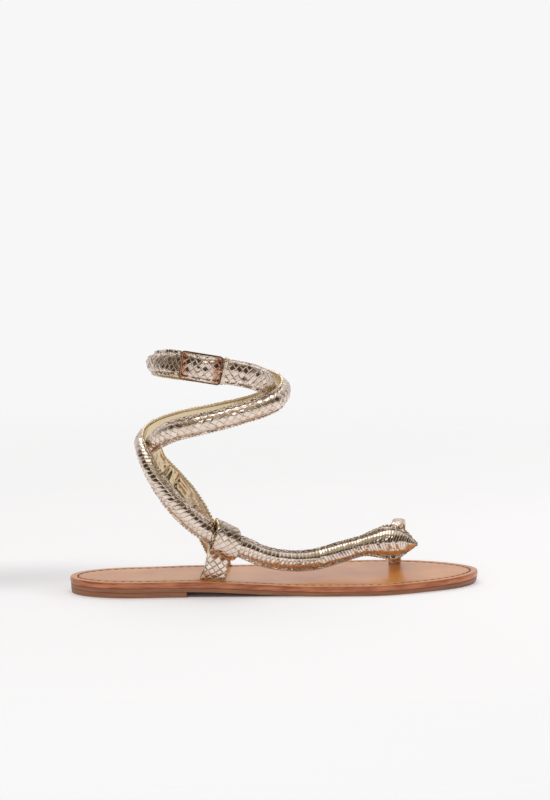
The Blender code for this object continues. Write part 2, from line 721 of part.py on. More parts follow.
def build():
    clear_scene()
    parts = bpy.data.collections.new("gladiator_sandal")
    cutters = bpy.data.collections.new("cutters")
    for collection in (parts, cutters):
        bpy.context.scene.collection.children.link(collection)

    tan = ((0.52, 0.25, 0.10), 0.35)
    brown = ((0.24, 0.12, 0.07), 0.55)
    gold = ((0.70, 0.62, 0.48), 0.30, 1.0)
    metal = ((0.82, 0.66, 0.50), 0.15, 1.0)

    lift_share = HEEL_SEAT_LENGTH / SOLE_LENGTH
    total = LIFT_THICKNESS + OUTSOLE_THICKNESS + INSOLE_THICKNESS
    low_inset = EDGE_SLOPE_WIDTH
    mid_inset = EDGE_SLOPE_WIDTH * (1.0 - LIFT_THICKNESS / total)
    high_inset = EDGE_SLOPE_WIDTH * INSOLE_THICKNESS / total
    lift = sole_layer(
        "heel_lift",
        lambda x: np.zeros_like(x),
        lambda x: np.full_like(x, LIFT_THICKNESS),
        (low_inset, mid_inset),
        lift_share,
    )
    add_object("heel_lift", lift, parts, brown)
    outsole = sole_layer(
        "outsole", tread_height, lambda x: tread_height(x) + OUTSOLE_THICKNESS, (mid_inset, high_inset)
    )
    add_object("outsole", outsole, parts, brown)
    insole = add_object(
        "insole", sole_layer("insole", insole_underside, insole_top, (high_inset, 0.0)), parts, tan
    )

    snake = strap_frames(foot_rows(SNAKE_FOOT_ROWS) + ankle_rows(SNAKE_ANKLE_ROWS), STRAP_STEP)
    medial_rows = foot_rows(MEDIAL_FOOT_ROWS)
    base = medial_rows[0]
    rooted = (base[0], base[1], slot_floor(base[0], STRAP_WIDTH), *base[3:])
    medial_rows.insert(0, rooted)
    medial = strap_frames(medial_rows + ankle_rows(MEDIAL_ANKLE_ROWS), STRAP_STEP)
    strap = add_object("snake_strap", strap_mesh("snake_strap", snake), parts, gold)
    add_object("medial_strap", strap_mesh("medial_strap", medial), parts, gold)
    add_object("side_keeper", keeper_mesh("side_keeper", snake), parts, gold)
    add_object("toe_loop", toe_loop_mesh("toe_loop"), parts, gold)

    slots = (
        (
            "keeper_slot",
            (sole_along(KEEPER_ALONG), KEEPER_ACROSS * BALL_WIDTH / 2.0),
            KEEPER_WIDTH + 4.0 * CLEARANCE,
            2.0 * KEEPER_THICKNESS + 5.0 * CLEARANCE,
            KEEPER_TURN,
        ),
        (
            "toe_loop_slot",
            (sole_along(LOOP_ALONG), loop_side()),
            LOOP_WIDTH + 4.0 * CLEARANCE,
            2.0 * LOOP_THICKNESS + 5.0 * CLEARANCE,
            -LOOP_TURN,
        ),
        (
            "medial_slot",
            (base[0], base[1] + FLAT_THICKNESS / 2.0),
            STRAP_WIDTH + 4.0 * CLEARANCE,
            FLAT_THICKNESS + base[-1] * PAD_HEIGHT + 5.0 * CLEARANCE,
            0.0,
        ),
    )
    for name, (x, y), length, width, turn in slots:
        place = (x, y, float(insole_underside(x)) + INSOLE_THICKNESS / 2.0)
        cut(insole, slot_cutter(name, place, length, width, turn, cutters))

    place = buckle_matrix()
    outer = BUCKLE_INNER_WIDTH + BUCKLE_WIRE_WIDTH
    ring = wire_mesh(
        "buckle_frame", rounded_rectangle(BUCKLE_LENGTH, outer, BUCKLE_CORNER_RADIUS), BUCKLE_WIRE_WIDTH, True
    )
    frame = add_object("buckle_frame", ring, parts, metal)
    frame.matrix_world = place
    bar = wire_mesh("buckle_bar", [(0.0, -outer / 2.0, 0.0), (0.0, outer / 2.0, 0.0)], BUCKLE_WIRE_WIDTH)
    bar_object = add_object("buckle_bar", bar, cutters)
    bar_object.matrix_world = place
    bar_object.hide_render = True
    bar_object.display_type = "WIRE"
    cut(frame, bar_object, "UNION")

    wire = wire_mesh("buckle_prong", prong_points(), PRONG_WIRE_WIDTH)
    prong = add_object("buckle_prong", wire, parts, metal)
    prong.matrix_world = place
    hole = slot_cutter(
        "prong_hole",
        place @ Vector((BUCKLE_LENGTH * PRONG_HOLE_SHARE, 0.0, 0.0)),
        PRONG_HOLE_LENGTH,
        PRONG_HOLE_WIDTH,
        0.0,
        cutters,
    )
    hole.rotation_euler = place.to_euler()
    cut(strap, hole)
    add_object("slim_loop", slim_loop_mesh("slim_loop", snake, place), parts, gold)


build()
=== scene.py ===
"""Gladiator sandal, a right shoe: tan leather sole, padded snake-embossed straps wound round the ankle."""

import math

import bmesh
import bpy
import numpy as np
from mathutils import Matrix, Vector


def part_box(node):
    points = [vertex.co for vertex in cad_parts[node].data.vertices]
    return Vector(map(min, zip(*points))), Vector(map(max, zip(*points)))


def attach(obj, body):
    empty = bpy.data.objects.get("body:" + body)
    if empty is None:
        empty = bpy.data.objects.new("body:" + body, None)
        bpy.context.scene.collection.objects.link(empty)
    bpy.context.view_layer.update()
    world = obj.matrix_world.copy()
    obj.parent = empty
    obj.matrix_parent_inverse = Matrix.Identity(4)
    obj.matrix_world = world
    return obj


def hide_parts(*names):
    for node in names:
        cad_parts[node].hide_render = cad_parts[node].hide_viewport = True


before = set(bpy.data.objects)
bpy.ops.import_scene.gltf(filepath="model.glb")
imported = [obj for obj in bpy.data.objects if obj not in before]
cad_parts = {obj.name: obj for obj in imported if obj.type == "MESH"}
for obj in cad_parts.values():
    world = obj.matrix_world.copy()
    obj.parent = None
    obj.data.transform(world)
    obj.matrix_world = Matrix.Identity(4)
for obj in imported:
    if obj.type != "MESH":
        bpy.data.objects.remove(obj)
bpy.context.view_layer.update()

# The studio: a camera beside the sandal's lateral side, a little above it, with the toe turned slightly away.
# The light overhead and the thin strip in front shine in the foil, and the other three only light it. The
# room is dark just above the horizon, which gives the foil its dark reflections.
PHOTO_HEIGHT = 800
PIXELS_PER_METRE = 1650.0
CAMERA_TURN, CAMERA_RISE = math.radians(-7.0), math.radians(9.5)
CAMERA_DISTANCE = 5.0
CAMERA_AIM = Vector((0.0909, -0.0002, 0.1156))
SENSOR = 36.0


def hex_colour(code):
    """An sRGB hex colour as linear red, green, blue and alpha."""
    parts = np.array([int(code[i : i + 2], 16) / 255.0 for i in (0, 2, 4)])
    linear = np.where(parts <= 0.04045, parts / 12.92, ((parts + 0.055) / 1.055) ** 2.4)
    return (*[float(value) for value in linear], 1.0)


def set_node(tree, node, settings=None, links=None, stops=()):
    """Sets a node's properties or inputs by name or number, its links from sockets, and a ramp's stops.

    A node given as a link stands for its first output. A stop is a place on the ramp and a hex colour."""
    for key, value in (settings or {}).items():
        if isinstance(key, str) and hasattr(node, key):
            setattr(node, key, value)
        else:
            node.inputs[key].default_value = value
    for key, source in (links or {}).items():
        tree.links.new(source.outputs[0] if hasattr(source, "outputs") else source, node.inputs[key])
    if stops:
        ramp = node.color_ramp.elements
        ramp.remove(ramp[1])
        ramp[0].position = stops[0][0]
        ramp[0].color = hex_colour(stops[0][1])
        for at, code in stops[1:]:
            ramp.new(at).color = hex_colour(code)
    return node


def add_node(tree, kind, settings=None, links=None, stops=()):
    """Adds a shader node of a kind, with its settings, links and stops as in set_node."""
    return set_node(tree, tree.nodes.new("ShaderNode" + kind), settings, links, stops)


def new_object(name, data):
    """An object of the scene that holds a camera, a light or a mesh."""
    made = bpy.data.objects.new(name, data)
    bpy.context.scene.collection.objects.link(made)
    return made


flat_share = math.cos(CAMERA_RISE)
towards_camera = (math.sin(CAMERA_TURN), -math.cos(CAMERA_TURN), 0.0)
camera_back = Vector((towards_camera[0] * flat_share, towards_camera[1] * flat_share, math.sin(CAMERA_RISE)))
camera_data = bpy.data.cameras.new("camera")
camera_data.sensor_width = SENSOR
camera_data.lens = SENSOR * CAMERA_DISTANCE * PIXELS_PER_METRE / PHOTO_HEIGHT
camera_data.clip_end = 50.0
camera = new_object("camera", camera_data)
camera.location = CAMERA_AIM + camera_back * CAMERA_DISTANCE
camera.rotation_euler = camera_back.to_track_quat("Z", "Y").to_euler()
bpy.context.scene.camera = camera
bpy.context.scene.view_settings.view_transform = "Standard"

SANDAL_MIDDLE = Vector((0.09, 0.0, 0.06))
for name, place, width, height, power in (
    ("light_above", (0.05, 0.35, 1.20), 0.9, 0.9, 4.0),
    ("light_front", (0.06, -0.94, 0.80), 1.30, 0.13, 1.2),
    ("light_heel_side", (-1.10, -0.20, 0.70), 0.5, 0.5, 1.0),
    ("light_toe_side", (1.10, 0.05, 0.50), 0.4, 0.4, 2.4),
    ("fill_light", (-0.35, -1.20, 0.30), 1.0, 0.5, 3.4),
):
    light_data = bpy.data.lights.new(name, "AREA")
    light_data.shape = "RECTANGLE"
    light_data.size, light_data.size_y = width, height
    light_data.energy = power
    light = new_object(name, light_data)
    light.location = place
    light.rotation_euler = (Vector(place) - SANDAL_MIDDLE).to_track_quat("Z", "Y").to_euler()
    light.visible_glossy = name in ("light_above", "light_front")

# The room's colour by height over the horizon in degrees, as it is on the camera's side. It turns to its
# colour behind the sandal between these two cosines of the angle to the camera's side.
ROOM_ROWS = (
    (-90, "e4dedb"), (2, "e4dedb"), (6, "463c33"), (30, "463c33"),
    (46, "8f8873"), (56, "b5ae96"), (90, "c4beab"),
)
ROOM_BEHIND, BACKDROP = "dedadc", "f7f7f7"
BEHIND_START, BEHIND_END = -0.15, -0.60
world = bpy.data.worlds.new("studio")
world.use_nodes = True
bpy.context.scene.world = world
tree = world.node_tree
tree.nodes.clear()
way = add_node(tree, "TexCoord").outputs["Generated"]
front = add_node(tree, "VectorMath", {"operation": "DOT_PRODUCT", 1: towards_camera}, {0: way})
upward = add_node(tree, "SeparateXYZ", links={0: way}).outputs["Z"]
over = add_node(tree, "Math", {"operation": "ARCSINE"}, {0: upward})
rise = add_node(tree, "MapRange", {"From Min": -math.pi / 2.0, "From Max": math.pi / 2.0}, {"Value": over})
room_stops = [((angle + 90.0) / 180.0, code) for angle, code in ROOM_ROWS]
room = add_node(tree, "ValToRGB", None, {0: rise}, room_stops)
behind = add_node(
    tree, "MapRange", {"From Min": BEHIND_START, "From Max": BEHIND_END}, {"Value": front.outputs["Value"]}
)
around = add_node(tree, "Mix", {"data_type": "RGBA", 7: hex_colour(ROOM_BEHIND)}, {0: behind, 6: room})
seen = add_node(tree, "LightPath").outputs["Is Camera Ray"]
shown = add_node(tree, "Mix", {"data_type": "RGBA", 7: hex_colour(BACKDROP)}, {0: seen, 6: around.outputs[2]})
shade = add_node(tree, "Background", links={"Color": shown.outputs[2]})
add_node(tree, "OutputWorld", links={"Surface": shade})

# The floor is a disc painted matt white, which fades into the white backdrop away from the sandal. A soft
# grey shadow is painted on it behind the heel: its middle, its half sizes, and how much light is left in it.
FLOOR_CENTRE, FLOOR_SOLID, FLOOR_END = (0.09, 0.0, 0.0), 0.25, 0.75
FLOOR_GLOW, FLOOR_WHITE = (0.27, 0.275, 0.30), (0.83, 0.84, 0.86)
SHADE_MIDDLE, SHADE_HALVES, SHADE_LIGHT = (-0.058, 0.050, 0.0), (0.160, 0.070, 1.0), 0.79
FLOOR_SIDES = 96


def new_finish(name):
    """A new material, its tree of nodes and its shader."""
    finish = bpy.data.materials.new(name)
    finish.use_nodes = True
    return finish, finish.node_tree, finish.node_tree.nodes["Principled BSDF"]


def floor_sheet(name, edge, finish):
    """A flat sheet inside its edge, as a part of the floor."""
    mesh = bpy.data.meshes.new(name)
    mesh.from_pydata(edge.tolist(), [], [range(len(edge))])
    mesh.materials.append(finish)
    new_object(name, mesh)


turns = np.linspace(0.0, 2.0 * math.pi, FLOOR_SIDES, endpoint=False)
rim = np.stack([np.cos(turns), np.sin(turns), 0.0 * turns], axis=1) * FLOOR_END + FLOOR_CENTRE
floor_paint, tree, shader = new_finish("matt_white_paint")
place = add_node(tree, "TexCoord").outputs["Object"]
apart = add_node(tree, "VectorMath", {"operation": "DISTANCE", 1: FLOOR_CENTRE}, {0: place})
solid = add_node(
    tree,
    "MapRange",
    {"interpolation_type": "SMOOTHSTEP", "From Min": FLOOR_END, "From Max": FLOOR_SOLID},
    {"Value": apart.outputs["Value"]},
)
# The painted shadow dims both the floor's white and its glow
moved = add_node(tree, "VectorMath", {"operation": "SUBTRACT", 1: SHADE_MIDDLE}, {0: place})
scaled = add_node(tree, "VectorMath", {"operation": "DIVIDE", 1: SHADE_HALVES}, {0: moved})
far = add_node(tree, "VectorMath", {"operation": "LENGTH"}, {0: scaled})
painted_shadow = add_node(
    tree,
    "MapRange",
    {"interpolation_type": "SMOOTHSTEP", "To Min": SHADE_LIGHT, "To Max": 1.0},
    {"Value": far.outputs["Value"]},
)
white = add_node(tree, "VectorMath", {"operation": "SCALE", 0: FLOOR_WHITE}, {3: painted_shadow})
set_node(
    tree,
    shader,
    {"Roughness": 1.0, "Specular IOR Level": 0.0, "Emission Color": (*FLOOR_GLOW, 1.0)},
    {"Alpha": solid, "Base Color": white, "Emission Strength": painted_shadow},
)
floor_sheet("floor", rim, floor_paint)

# The sole's outline and side profile, which all its layers follow. The insole is tan vegetable-tanned leather
# with a soft finish, glued on the outsole, with a burnished red-brown edge and a row of stitches.
INSOLE_LOW, INSOLE_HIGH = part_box("insole")
HEEL_BACK = INSOLE_LOW[0]
SOLE_LENGTH = INSOLE_HIGH[0] - INSOLE_LOW[0]
HEEL_WIDTH, BALL_WIDTH = 0.054, 0.086
INSOLE_THICKNESS, OUTSOLE_THICKNESS, LIFT_THICKNESS = 0.0036, 0.0025, 0.0030
HEEL_SEAT_LENGTH = 0.068
SEAM = 0.0003
TOE_SPRING = 0.0014
HEEL_ROUND, HEEL_FULLNESS = 0.045, 2.1
TOE_ROUND, TOE_FULLNESS = 0.070, 1.85
FLAT_START, FLAT_END = 0.60, 0.75
SOLE_STATIONS = np.array(
    (
        (0.00, 0.00, 0.000),
        (0.25, 0.00, 0.000),
        (0.38, 0.22, 0.012),
        (0.50, 0.54, 0.045),
        (0.62, 0.84, 0.070),
        (0.72, 1.00, 0.080),
        (0.86, 1.00, 0.098),
        (1.00, 1.00, 0.062),
    )
)
OUTLINE_STEPS = 260
FILL_SHARES = (0.86, 0.72, 0.58, 0.44, 0.30, 0.15, 0.0)


def smooth_through(rows, at, places):
    """A curve through rows at the parameters at: cubic Hermite pieces, with the rows' gradient as slopes."""
    rows, at = np.asarray(rows, float), np.asarray(at, float)
    slopes = np.gradient(rows, at, axis=0)
    index = np.clip(np.searchsorted(at, places, side="right") - 1, 0, len(at) - 2)
    length = (at[index + 1] - at[index])[:, None]
    share = ((places - at[index]) / length[:, 0])[:, None]
    square, cube = share**2, share**3
    return (
        (2 * cube - 3 * square + 1) * rows[index]
        + (cube - 2 * square + share) * length * slopes[index]
        + (3 * square - 2 * cube) * rows[index + 1]
        + (cube - square) * length * slopes[index + 1]
    )


def smoothstep(value):
    """0 below 0, 1 above 1, and 3 t^2 - 2 t^3 between."""
    value = np.clip(value, 0.0, 1.0)
    return value * value * (3.0 - 2.0 * value)


def tread_height(x):
    """The outsole's underside: level on the heel lift, an S-curve to the floor, a parabola up at the toe."""
    share = (x - HEEL_BACK) / SOLE_LENGTH
    breast = HEEL_SEAT_LENGTH / SOLE_LENGTH
    fall = smoothstep((share - breast) / (FLAT_START - breast))
    spring = np.clip((share - FLAT_END) / (1.0 - FLAT_END), 0.0, 1.0) ** 2
    return (LIFT_THICKNESS + SEAM) * (1.0 - fall) + TOE_SPRING * spring


def insole_top(x):
    """The insole's upper face: the outsole's underside, and the two layers and their seam on it."""
    return tread_height(x) + OUTSOLE_THICKNESS + SEAM + INSOLE_THICKNESS


def outline(inset, last_share=1.0, fill=1.0):
    """The sole's edge drawn in by inset, as one loop: lateral side from heel to toe, medial side back again.

    Half the width runs from the heel's to the ball's through the stations, times a superellipse at each end.
    A last share below 1 ends the loop at that share of the length, straight across. A fill below 1 draws the
    loop in towards its middle line, to that share of its width."""
    if last_share < 1.0:
        shares = (1.0 - np.cos(np.linspace(0.0, math.pi / 2.0, OUTLINE_STEPS // 2))) * last_share
        ends = 1.0
    else:
        shares = (1.0 - np.cos(np.linspace(0.0, math.pi, OUTLINE_STEPS + 1))) / 2.0
        ends = 2.0
    between, shift = smooth_through(SOLE_STATIONS[:, 1:], SOLE_STATIONS[:, 0], shares).T
    from_heel = shares * SOLE_LENGTH
    heel = np.clip((HEEL_ROUND - from_heel) / HEEL_ROUND, 0.0, 1.0)
    toe = np.clip((from_heel - SOLE_LENGTH + TOE_ROUND) / TOE_ROUND, 0.0, 1.0)
    rounding = (1.0 - heel**HEEL_FULLNESS) ** (1.0 / HEEL_FULLNESS)
    rounding *= (1.0 - toe**TOE_FULLNESS) ** (1.0 / TOE_FULLNESS)
    half = ((HEEL_WIDTH + between * (BALL_WIDTH - HEEL_WIDTH)) / 2.0 - inset) * rounding * fill
    x = HEEL_BACK + inset + from_heel * (1.0 - ends * inset / (SOLE_LENGTH * last_share))
    middle = shift * BALL_WIDTH
    return np.concatenate(
        [np.stack([x, middle - half], axis=1), np.stack([x, middle + half], axis=1)[::-1]]
    )


def grid_faces(rows, columns, closed_rows=False):
    """Quads of a grid whose columns run round a closed loop."""
    near = np.arange(rows if closed_rows else rows - 1)[:, None] * columns
    far = (near + columns) % (rows * columns)
    side = np.arange(columns)[None, :]
    after = (side + 1) % columns
    return np.stack([near + side, near + after, far + after, far + side], axis=-1).reshape(-1, 4)


def new_piece(name, points, faces, finish, values=None, nodes=()):
    """A piece that rides on the sandal, its doubled points merged and its faces turned outwards."""
    mesh = bpy.data.meshes.new(name)
    mesh.from_pydata(points.tolist(), [], faces if isinstance(faces, list) else faces.tolist())
    for key, column in (values or {}).items():
        kind, field = ("FLOAT_VECTOR", "vector") if column.ndim == 2 else ("FLOAT", "value")
        mesh.attributes.new(key, kind, "POINT").data.foreach_set(field, column.astype(np.float32).ravel())
    work = bmesh.new()
    work.from_mesh(mesh)
    bmesh.ops.remove_doubles(work, verts=work.verts, dist=1e-7)
    bmesh.ops.dissolve_degenerate(work, edges=work.edges, dist=1e-7)
    bmesh.ops.recalc_face_normals(work, faces=work.faces)
    work.to_mesh(mesh)
    work.free()
    mesh.shade_smooth()
    mesh.materials.append(finish)
    piece = new_object(name, mesh)
    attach(piece, "root")
    if nodes:
        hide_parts(*nodes)
    return piece


def slab(rings, last_share=1.0):
    """Loops of the sole's outline stacked from the underside's middle, round the edge, to the top's middle.

    A ring is (inset, height as a function of x, value): the value is kept for the finish."""
    loops, values = [], []
    inner_low, inner_top = rings[0], rings[-1]
    stacked = [(inner_low, share) for share in FILL_SHARES[::-1]] + [(ring, 1.0) for ring in rings]
    stacked += [(inner_top, share) for share in FILL_SHARES]
    for (inset, height, value), fill in stacked:
        flat = outline(inset, last_share, fill)
        loops.append(np.column_stack([flat, height(flat[:, 0])]))
        values.append(np.full(len(flat), value))
    points = np.stack(loops)
    return points.reshape(-1, 3), grid_faces(len(loops), points.shape[1]), np.concatenate(values)


STITCH_INSET = 0.0046
GROOVE_HALF = 0.0006
GROOVE_DEPTH = 0.00045
EDGE_ROUND = 0.0007
SHADE_INSET = 0.0015
# Across the groove of the stitches in its half widths, and its depth there as a share
GROOVE_ROWS = ((-2.2, 0.0), (-1.2, 0.3), (-0.5, 1.0), (0.5, 1.0), (1.2, 0.3), (2.2, 0.0))


def insole_level(share, drop=0.0):
    """Height at a share of the insole's thickness, less a drop, as a function of x."""
    return lambda x: insole_top(x) - (1.0 - share) * INSOLE_THICKNESS - drop


# The insole's edge from below: inset, share of the thickness, drop below that, and a value that is 1 at its
# cut edge, 0 on its face and -1 in the groove
EDGE_ROWS = (
    (0.0016, 0.0, 0.0, 1.0),
    (0.0004, 0.0, 0.0, 1.0),
    (0.0001, 0.06, 0.0, 1.0),
    (0.0, 0.25, 0.0, 1.0),
    (-0.0001, 0.50, 0.0, 0.9),
    (0.0, 0.72, 0.0, 0.75),
    (EDGE_ROUND * 0.15, 1.0, EDGE_ROUND * 0.6, 0.6),
    (EDGE_ROUND * 0.45, 1.0, EDGE_ROUND * 0.2, 0.4),
    (EDGE_ROUND, 1.0, 0.0, 0.2),
    (EDGE_ROUND * 2.0, 1.0, 0.0, 0.0),
    *[(STITCH_INSET + across * GROOVE_HALF, 1.0, deep * GROOVE_DEPTH, -deep) for across, deep in GROOVE_ROWS],
    (STITCH_INSET * 2.0, 1.0, 0.0, 0.0),
)
insole_rings = [(inset, insole_level(share, drop), value) for inset, share, drop, value in EDGE_ROWS]

# Painted shade under the sole: the floor hidden under it gets none of the floor's glow, so the gap under the
# arch looks dark. Its sheet lies just over the floor
SHADED_LEVEL = 0.0001
shaded = outline(SHADE_INSET)
painted_shade_paint = floor_paint.copy()
painted_shade_paint.name = "white_paint_for_painted_shade"
for link in list(painted_shade_paint.node_tree.links):
    if link.to_socket.name == "Emission Strength":
        painted_shade_paint.node_tree.links.remove(link)
painted_shade_paint.node_tree.nodes["Principled BSDF"].inputs["Emission Strength"].default_value = 0.0
floor_sheet("painted_shade_under_sole", np.column_stack([shaded, np.full(len(shaded), SHADED_LEVEL)]), painted_shade_paint)

# Finished vegetable-tanned leather: even tan with a faint cloudy tone, a soft gloss from its wax, and fine
# pores, drawn coarser than the real ones. Its cut edge is burnished brick red, blotchy along the fibres,
# with a paler rim where the knife rounded it. Sizes of clouds, pores and streaks are in mm.
CLOUD_SIZE, PORE_SIZE, STREAK_SIZES = 22.22, 0.4545, (11.11, 11.11, 2.0)
insole_leather, tree, shader = new_finish("waxed_tan_leather")
place = add_node(tree, "TexCoord").outputs["Object"]
edge = add_node(tree, "Attribute", {"attribute_name": "edge"}).outputs["Fac"]
cloud = add_node(tree, "TexNoise", {"Scale": 1000.0 / CLOUD_SIZE, "Detail": 4.0}, {"Vector": place})
top_tone = add_node(tree, "ValToRGB", None, {0: cloud}, ((0.30, "d0803a"), (0.70, "e49f52")))
along_fibres = add_node(
    tree, "Mapping", {"Scale": [1000.0 / size for size in STREAK_SIZES]}, {"Vector": place}
)
streak = add_node(tree, "TexNoise", {"Scale": 1.0, "Detail": 5.0}, {"Vector": along_fibres})
edge_tone = add_node(tree, "ValToRGB", None, {0: streak}, ((0.35, "a05031"), (0.65, "c87e53")))
side = add_node(tree, "MapRange", {"From Min": 0.25, "From Max": 0.65}, {"Value": edge})
# Painted shade: the stitch groove is mixed towards a dark brown
groove = add_node(tree, "MapRange", {"From Min": 0.0, "From Max": -1.0}, {"Value": edge})
coloured = add_node(tree, "Mix", {"data_type": "RGBA"}, {0: side, 6: top_tone, 7: edge_tone})
with_painted_groove_shade = add_node(
    tree, "Mix", {"data_type": "RGBA", 7: hex_colour("7a4526")}, {0: groove, 6: coloured.outputs[2]}
)
pores = add_node(tree, "TexNoise", {"Scale": 1000.0 / PORE_SIZE, "Detail": 2.0}, {"Vector": place})
bump = add_node(tree, "Bump", {"Strength": 0.10, "Distance": 0.0001}, {"Height": pores})
set_node(
    tree,
    shader,
    {"Roughness": 0.30, "Coat Weight": 0.30, "Coat Roughness": 0.14},
    {"Base Color": with_painted_groove_shade.outputs[2], "Normal": bump},
)

points, faces, values = slab(insole_rings)
new_piece("insole_leather", points, faces, insole_leather, {"edge": values}, ("insole",))

# Stitches through insole and outsole: waxed brown thread, a stitch every 5 mm, sunk in their groove. A
# stitch lies in the groove by this share of its depth, and its two ends go down by this much more.
STITCH_PITCH, STITCH_LENGTH = 0.0050, 0.0034
THREAD_HALF = 0.00042
THREAD_SUNK, THREAD_END_DROP = 0.55, 0.0003
FIBRE_SIZE = 0.5556


def distance_along(points):
    """The length of a path of points up to each of them."""
    return np.concatenate([[0.0], np.cumsum(np.linalg.norm(np.diff(points, axis=0), axis=1))])


def along_loop(loop, spacing):
    """Points and directions about every spacing along a closed loop of flat points."""
    closed = np.concatenate([loop, loop[:1]])
    run = distance_along(closed)
    count = int(round(run[-1] / spacing))
    places = np.arange(count) * run[-1] / count
    read = lambda at: np.stack([np.interp(at % run[-1], run, closed[:, k]) for k in (0, 1)], axis=1)
    ahead = read(places + 0.0005) - read(places - 0.0005)
    return read(places), ahead / np.linalg.norm(ahead, axis=1, keepdims=True)


middle, ahead = along_loop(outline(STITCH_INSET), STITCH_PITCH)
thread_along = np.linspace(-1.0, 1.0, 7)
thread_round = np.linspace(0.0, 2.0 * math.pi, 6, endpoint=False)
swell = np.sqrt(np.clip(1.0 - np.abs(thread_along) ** 4, 0.0, 1.0)) * THREAD_HALF
sideways = np.stack([-ahead[:, 1], ahead[:, 0]], axis=1)
spot = (
    middle[:, None, None, :]
    + ahead[:, None, None, :] * (thread_along * STITCH_LENGTH / 2.0)[None, :, None, None]
    + sideways[:, None, None, :] * (swell[:, None] * np.cos(thread_round))[None, :, :, None]
)
level = insole_top(spot[..., 0]) - GROOVE_DEPTH * THREAD_SUNK + (swell[:, None] * np.sin(thread_round))[None]
level -= THREAD_END_DROP * (thread_along**2)[None, :, None]
points = np.concatenate([spot, level[..., None]], axis=-1)
one = grid_faces(len(thread_along), len(thread_round))
faces = np.concatenate([one + k * points.shape[1] * points.shape[2] for k in range(len(middle))])

# Waxed thread: its twisted fibres, in mm, show as a grain of two browns, half dull from the wax
thread, tree, shader = new_finish("waxed_brown_thread")
place = add_node(tree, "TexCoord").outputs["Object"]
fibre = add_node(tree, "TexNoise", {"Scale": 1000.0 / FIBRE_SIZE}, {"Vector": place})
tone = add_node(tree, "ValToRGB", None, {0: fibre}, ((0.0, "6b4226"), (1.0, "9a683e")))
set_node(tree, shader, {"Roughness": 0.6}, {"Base Color": tone})
new_piece("edge_stitches", points.reshape(-1, 3), faces, thread)

# Outsole and heel lift: brown leather boards cut to the insole's outline, their cut edges smoothed and
# stained. The outsole is glued under the whole insole, and the lift under its heel seat.
EDGE_SLOPE = 0.0008
LAYER_ROUND = 0.0003
GLUE_REACH = 0.8 * SEAM
# Inwards from a board's edge and away from its face, in its corner's radius
CORNER_ROWS = ((6.0, 0.0), (1.0, 0.0), (0.3, 0.3), (0.0, 1.0))
stack = LIFT_THICKNESS + OUTSOLE_THICKNESS + INSOLE_THICKNESS
high_inset = EDGE_SLOPE * INSOLE_THICKNESS / stack
mid_inset = EDGE_SLOPE * (1.0 - LIFT_THICKNESS / stack)

# Stained sole leather: matt brown, its cut edge streaked along the fibres, with pores. Their sizes are in mm.
BOARD_PORE_SIZE, BOARD_STREAK_SIZES = 0.6667, (16.67, 16.67, 1.111)
sole_board, tree, shader = new_finish("stained_sole_leather")
place = add_node(tree, "TexCoord").outputs["Object"]
along_fibres = add_node(
    tree, "Mapping", {"Scale": [1000.0 / size for size in BOARD_STREAK_SIZES]}, {"Vector": place}
)
streak = add_node(tree, "TexNoise", {"Scale": 1.0, "Detail": 4.0}, {"Vector": along_fibres})
tone = add_node(tree, "ValToRGB", None, {0: streak}, ((0.30, "8a5840"), (0.72, "a47152")))
pores = add_node(tree, "TexNoise", {"Scale": 1000.0 / BOARD_PORE_SIZE}, {"Vector": place})
bump = add_node(tree, "Bump", {"Strength": 0.15, "Distance": 0.0001}, {"Height": pores})
set_node(tree, shader, {"Roughness": 0.50}, {"Base Color": tone, "Normal": bump})


def board_rings(low, high, low_inset, top_inset):
    """The profile of a board's edge between two heights, its two corners rounded."""
    rings = [
        (low_inset + far * LAYER_ROUND, lambda x, up=up: low(x) + up * LAYER_ROUND, 0.0)
        for far, up in CORNER_ROWS
    ]
    rings += [
        (top_inset + far * LAYER_ROUND, lambda x, up=up: high(x) - up * LAYER_ROUND, 0.0)
        for far, up in CORNER_ROWS[::-1]
    ]
    return rings


def outsole_top(x):
    """The outsole's upper face, which reaches into the glue under the insole."""
    return tread_height(x) + OUTSOLE_THICKNESS + GLUE_REACH


points, faces, _ = slab(board_rings(tread_height, outsole_top, mid_inset, high_inset))
new_piece("outsole_board", points, faces, sole_board, None, ("outsole",))
points, faces, _ = slab(
    board_rings(lambda x: 0.0 * x, lambda x: 0.0 * x + LIFT_THICKNESS + GLUE_REACH, EDGE_SLOPE, mid_inset),
    HEEL_SEAT_LENGTH / SOLE_LENGTH,
)
new_piece("heel_lift_board", points, faces, sole_board, None, ("heel_lift",))

# The two padded straps: foiled leather embossed with snake scales, folded round a cord filling and stitched
# to a smooth lining. The snake strap starts at its head by the toe, the medial strap in a slot at the
# insole's edge.
STRAP_WIDTH = 0.0130
FLAT_THICKNESS = 0.0014
PAD_HEIGHT = 0.0039
LAYER_STEP = FLAT_THICKNESS + PAD_HEIGHT + 3.0 * SEAM
ANKLE_HALF_LENGTH, ANKLE_HALF_WIDTH = 0.0350, 0.0300
ANKLE_ALONG, ANKLE_SHIFT = 0.3472, 0.0015
ANKLE_LEAN, ANKLE_MIDDLE_HEIGHT = 0.05, 0.100
BUCKLE_HEIGHT = 0.142
